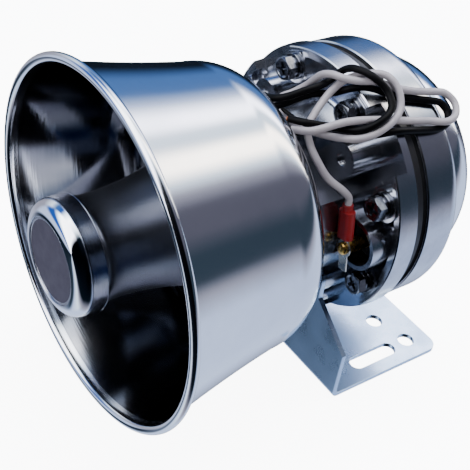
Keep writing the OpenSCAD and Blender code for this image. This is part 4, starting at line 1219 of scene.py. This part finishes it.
DRESSED = (
    Dressed("front_cover", "chrome_cast", CAST_CHROME, 0.45),
    Dressed("driver_case", "chrome_cast", CAST_CHROME, 0.4),
    Dressed("rear_cover", "chrome_spun", SPUN_CHROME, 0.3),
    Dressed("mounting_bracket", "zinc_bracket", ZINC_SHEET, 0.35),
    Dressed("throat_tube", "cast_alloy", CAST_ALLOY, 0.3),
    Dressed("bell_gasket", "black_gasket", FIBRE),
    Dressed("front_gasket", "black_gasket", FIBRE),
    Dressed("rear_gasket", "black_gasket", FIBRE),
    Dressed("cover_seal", "black_gasket", FIBRE),
    Dressed("diaphragm_frame", "black_plastic", PHENOLIC, 0.2),
    Dressed("phase_plug", "plug_plastic", NYLON),
    Dressed("diaphragm", "phenolic_dome", PHENOLIC_CLOTH),
    Dressed("voice_coil", "coil_copper", COPPER),
    Dressed("pole_plate", "pole_steel", TURNED_STEEL),
    Dressed("ring_magnet", "ferrite", FERRITE),
    Dressed("yoke", "pole_steel", TURNED_STEEL),
    Dressed("cap_screw", "zinc_fastener", ZINC_SCREW),
    Dressed("bell_screws", "zinc_fastener", ZINC_SCREW),
    Dressed("cover_screws", "zinc_fastener", ZINC_SCREW),
    Dressed("terminal_insulators", "black_plastic", PHENOLIC, 0.2),
    Dressed("terminal_posts", "brass_terminal", BRASS, 0.2),
    Dressed("terminal_tabs", "tinned_tab", TINNED_STRIP, 0.12),
    Dressed("terminal_screws", "brass_terminal", BRASS, 0.15),
    Dressed("spade_sleeves", "red_sleeve", RED_VINYL, 0.5),
)


# Camera, floor and light


@dataclass
class PhotoCamera:
    """A camera at the photograph's place, with its lens.

    Angles are in degrees, and lengths in mm. The focal length is in pixels of a 470-pixel frame.
    """

    azimuth: float = 49.03
    elevation: float = 38.63
    roll: float = 9.59
    distance: float = 453.99
    focal_px: float = 973.12
    frame_px: float = 470.0
    sensor: float = 36.0
    target: Point = (0.0, -53.9, 58.39)
    shift_x: float = -0.0229
    shift_y: float = 0.0193

    def build(self) -> None:
        """Makes the camera and sets it as the scene's."""
        a, e, r = (math.radians(v) for v in (self.azimuth, self.elevation, self.roll))
        back = Vector((math.sin(a) * math.cos(e), -math.cos(a) * math.cos(e), math.sin(e)))
        right = Vector((math.cos(a), math.sin(a), 0))
        up = back.cross(right)
        across = math.cos(r) * right + math.sin(r) * up
        upward = -math.sin(r) * right + math.cos(r) * up
        data = bpy.data.cameras.new("photo_camera")
        data.sensor_width = self.sensor
        data.lens = self.focal_px / self.frame_px * self.sensor
        data.shift_x, data.shift_y = self.shift_x, self.shift_y
        data.clip_start, data.clip_end = 0.01, 20.0
        camera = in_scene("photo_camera", data)
        place = Vector(self.target) * MM + back * self.distance * MM
        camera.matrix_world = Matrix.Translation(place) @ Matrix((across, upward, back)).transposed().to_4x4()
        bpy.context.scene.camera = camera


@dataclass
class Softbox:
    """One soft rectangular light.

    Attributes:
        name: Its name.
        place: Where it hangs, in mm.
        aim: What it points at, in mm.
        size: Width and height, in mm.
        watts: Power.
        colour: sRGB colour.
    """

    name: str
    place: Point
    aim: Point
    size: tuple[float, float]
    watts: float
    colour: str = "FFFFFF"

    def build(self) -> None:
        """Hangs the light, and leaves it out of what the chrome mirrors."""
        data = bpy.data.lights.new(self.name, "AREA")
        data.shape = "RECTANGLE"
        data.size, data.size_y = self.size[0] * MM, self.size[1] * MM
        data.energy = self.watts
        data.color = linear(self.colour)[:3]
        light = in_scene(self.name, data)
        light.visible_glossy = False
        spot, aim = Vector(self.place) * MM, Vector(self.aim) * MM
        turn = (spot - aim).to_track_quat("Z", "Y").to_matrix().to_4x4()
        light.matrix_world = Matrix.Translation(spot) @ turn


class Tone:
    """The few tones of the mirrored room, in round steps."""

    BLACK = "080810"
    INK = "182028"
    SLATE = "384048"
    GRAPHITE = "505058"
    NAVY = "305080"
    DUSK = "486080"
    STONE = "787880"
    ASH = "9098A8"
    MIST = "A8B0B8"
    PALE = "C8D0D8"
    SNOW = "F0F0F8"
    CREAM = "FFF8F0"
    WHITE = "FFFFFF"


@dataclass
class Surround:
    """The plain graded room that the chrome mirrors.

    Each list gives tones by angle in degrees around the horn's axis: 0 is straight up, 90 is the camera's
    side and beyond it comes the room's pale ground. The rear list is what the bell's and the driver's outer
    walls mirror, the side list what the rim mirrors, and the front one what faces the mouth.

    Attributes:
        rear: Colours of the rear of the room.
        side: Colours beside the horn.
        front: Colours in front of the mouth.
        side_band: Where front gives way to side, as the Y of the direction looked in.
        rear_band: Where side gives way to rear, in the same way.
        contrast: Power that deepens the darker colours.
        light: Strength of the room's glow.
    """

    rear: Stops = field(default_factory=lambda: [
        (-180, Tone.ASH), (-140, Tone.GRAPHITE), (-112, Tone.INK), (-95, Tone.INK), (-76, Tone.DUSK),
        (-58, Tone.DUSK), (-46, Tone.ASH), (-33, Tone.SNOW), (-26, Tone.SNOW), (-18, Tone.MIST),
        (-9, Tone.MIST), (0, Tone.CREAM), (9, Tone.CREAM), (19, Tone.MIST), (28, Tone.STONE),
        (40, Tone.GRAPHITE), (60, Tone.GRAPHITE), (76, Tone.SLATE), (96, Tone.SLATE), (106, Tone.STONE),
        (125, Tone.ASH), (180, Tone.ASH)])
    side: Stops = field(default_factory=lambda: [
        (-180, Tone.ASH), (-150, Tone.ASH), (-110, Tone.STONE), (-90, Tone.STONE), (-68, Tone.MIST),
        (-54, Tone.DUSK), (-40, Tone.NAVY), (-28, Tone.PALE), (-14, Tone.WHITE), (8, Tone.PALE),
        (24, Tone.INK), (60, Tone.BLACK), (100, Tone.BLACK), (146, Tone.INK), (168, Tone.STONE),
        (180, Tone.ASH)])
    front: Stops = field(default_factory=lambda: [
        (-180, Tone.MIST), (-160, Tone.ASH), (-148, Tone.SLATE), (-122, Tone.INK), (-112, Tone.ASH),
        (-88, Tone.ASH), (-76, Tone.NAVY), (-60, Tone.NAVY), (-46, Tone.PALE), (-32, Tone.WHITE),
        (14, Tone.SNOW), (26, Tone.BLACK), (60, Tone.BLACK), (150, Tone.INK), (166, Tone.STONE),
        (180, Tone.MIST)])
    side_band: tuple[float, float] = (-0.45, -0.2)
    rear_band: tuple[float, float] = (0.02, 0.42)
    contrast: float = 1.6
    light: float = 8.0

    @staticmethod
    def ramp(tree: bpy.types.NodeTree, stops: Stops, share: bpy.types.NodeSocket) -> bpy.types.NodeSocket:
        """Makes one band of colours by angle.

        Args:
            tree: The world's tree.
            stops: Angles and colours.
            share: The angle as a share of the full turn.

        Returns:
            The colour.
        """
        node = add_node(tree, "ShaderNodeValToRGB", {}, {"Fac": share})
        band = node.color_ramp
        # A new ramp has two stops, and the rest are added.
        for i, (angle, colour) in enumerate(stops):
            at = (angle + 180) / 360
            stop = band.elements[i] if i < 2 else band.elements.new(at)
            stop.position = at
            stop.color = linear(colour)
        return node.outputs["Color"]

    def build(self) -> None:
        """Makes the world and sets it as the scene's."""
        world = bpy.data.worlds.new("plain_graded_room")
        bpy.context.scene.world = world
        world.use_nodes = True
        # The room is mirrored, and the softboxes light what is matt.
        world.cycles_visibility.diffuse = False
        tree = world.node_tree
        tree.nodes.clear()
        place = add_node(tree, "ShaderNodeTexCoord").outputs["Generated"]
        way = add_node(tree, "ShaderNodeSeparateXYZ", {}, {0: place})
        angle = add_node(tree, "ShaderNodeMath", {"operation": "ARCTAN2"},
                         {0: way.outputs["X"], 1: way.outputs["Z"]})
        share = add_node(tree, "ShaderNodeMapRange", {"From Min": -math.pi, "From Max": math.pi},
                         {"Value": angle.outputs[0]}).outputs["Result"]
        seen = self.ramp(tree, self.front, share)
        for stops, (start, end) in ((self.side, self.side_band), (self.rear, self.rear_band)):
            turn = add_node(tree, "ShaderNodeMapRange",
                            {"interpolation_type": "SMOOTHSTEP", "From Min": start, "From Max": end},
                            {"Value": way.outputs["Y"]})
            mixed = add_node(tree, "ShaderNodeMix", {"data_type": "RGBA"},
                             {"Factor": turn.outputs["Result"], MIX_FIRST: seen,
                              MIX_SECOND: self.ramp(tree, stops, share)})
            seen = mixed.outputs[MIX_RESULT]
        seen = add_node(tree, "ShaderNodeGamma", {"Gamma": self.contrast}, {"Color": seen}).outputs["Color"]
        glow = add_node(tree, "ShaderNodeBackground", {"Strength": self.light}, {"Color": seen})
        add_node(tree, "ShaderNodeOutputWorld", {}, {"Surface": glow.outputs[0]})


@dataclass
class Studio:
    """Pale ground and soft light, both left out of the chrome's reflections.

    The surround stands for them there. Sizes are in mm. The floor curves up at its edge and ends in a plain
    wall, so that a view from the side has the same pale ground.
    """

    floor_flat: float = 1800.0
    floor_turn: float = 600.0
    turn_steps: int = 6
    wall_top: float = 2600.0
    floor_sides: int = 72
    floor_colour: str = "F9FAFB"
    floor_rough: float = 0.9
    floor_glow: float = 9.0
    lights: list[Softbox] = field(default_factory=lambda: [
        Softbox("overhead_softbox", (-150, 100, 900), (0, -20, 60), (900, 700), 22, "F6F9FF"),
        Softbox("right_softbox", (900, -250, 420), (0, -40, 80), (420, 700), 9),
        Softbox("front_softbox", (-250, -900, 520), (0, -80, 80), (500, 360), 6, "FFFDF8"),
        Softbox("rear_softbox", (250, 900, 500), (0, 0, 80), (700, 300), 8, "EEF3FF")])

    def sweep(self) -> bpy.types.Mesh:
        """Makes the round floor, which curves up into a plain wall."""
        centre, turn, count = self.floor_flat, self.floor_turn, self.floor_sides
        bends = [math.radians(90 / self.turn_steps * i) for i in range(1, self.turn_steps + 1)]
        section = [(centre, 0.0)]
        section += [(centre + turn * math.sin(a), turn * (1 - math.cos(a))) for a in bends]
        section.append((centre + turn, self.wall_top))
        points = []
        for radius, height in section:
            for i in range(count):
                a = math.tau * i / count
                points.append((radius * math.cos(a) * MM, radius * math.sin(a) * MM, height * MM))
        faces = [tuple(range(count))]
        for low in range(0, (len(section) - 1) * count, count):
            high = low + count
            for i in range(count):
                j = (i + 1) % count
                faces.append((low + i, low + j, high + j, high + i))
        mesh = bpy.data.meshes.new("pale_floor")
        mesh.from_pydata(points, [], faces)
        return mesh

    def paper(self) -> bpy.types.Material:
        """Makes the ground's matt white, which glows so that the camera sees it as pure white."""
        material = bpy.data.materials.new("matt_white_paper")
        material.use_nodes = True
        shader = material.node_tree.nodes["Principled BSDF"]
        for socket, value in (("Base Color", linear(self.floor_colour)), ("Roughness", self.floor_rough),
                              ("Emission Color", linear(self.floor_colour)),
                              ("Emission Strength", self.floor_glow)):
            shader.inputs[socket].default_value = value
        return material

    def build(self) -> None:
        """Makes the floor, the surround and the lights."""
        mesh = self.sweep()
        mesh.materials.append(self.paper())
        floor = in_scene("pale_floor", mesh)
        # The camera alone sees the floor: it isn't mirrored, sheds no light on the horn and casts no shadow.
        floor.visible_glossy = False
        floor.visible_diffuse = False
        floor.visible_shadow = False
        Surround().build()
        for light in self.lights:
            light.build()


def main() -> None:
    """Builds the horn's looks in order, from the frame to the light."""
    logging.basicConfig(level=logging.INFO, format="%(name)s: %(message)s")
    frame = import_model()
    PhotoCamera().build()
    lathe = lathe_tree()
    ring = ring_tree()
    LeadPair().build()
    SpunBell().build(lathe)
    NoseAssembly().build(lathe)
    Fasteners().build(ring)
    for part in DRESSED:
        part.build(frame["nodes"])
    Studio().build()


if __name__ == "__main__":
    main()
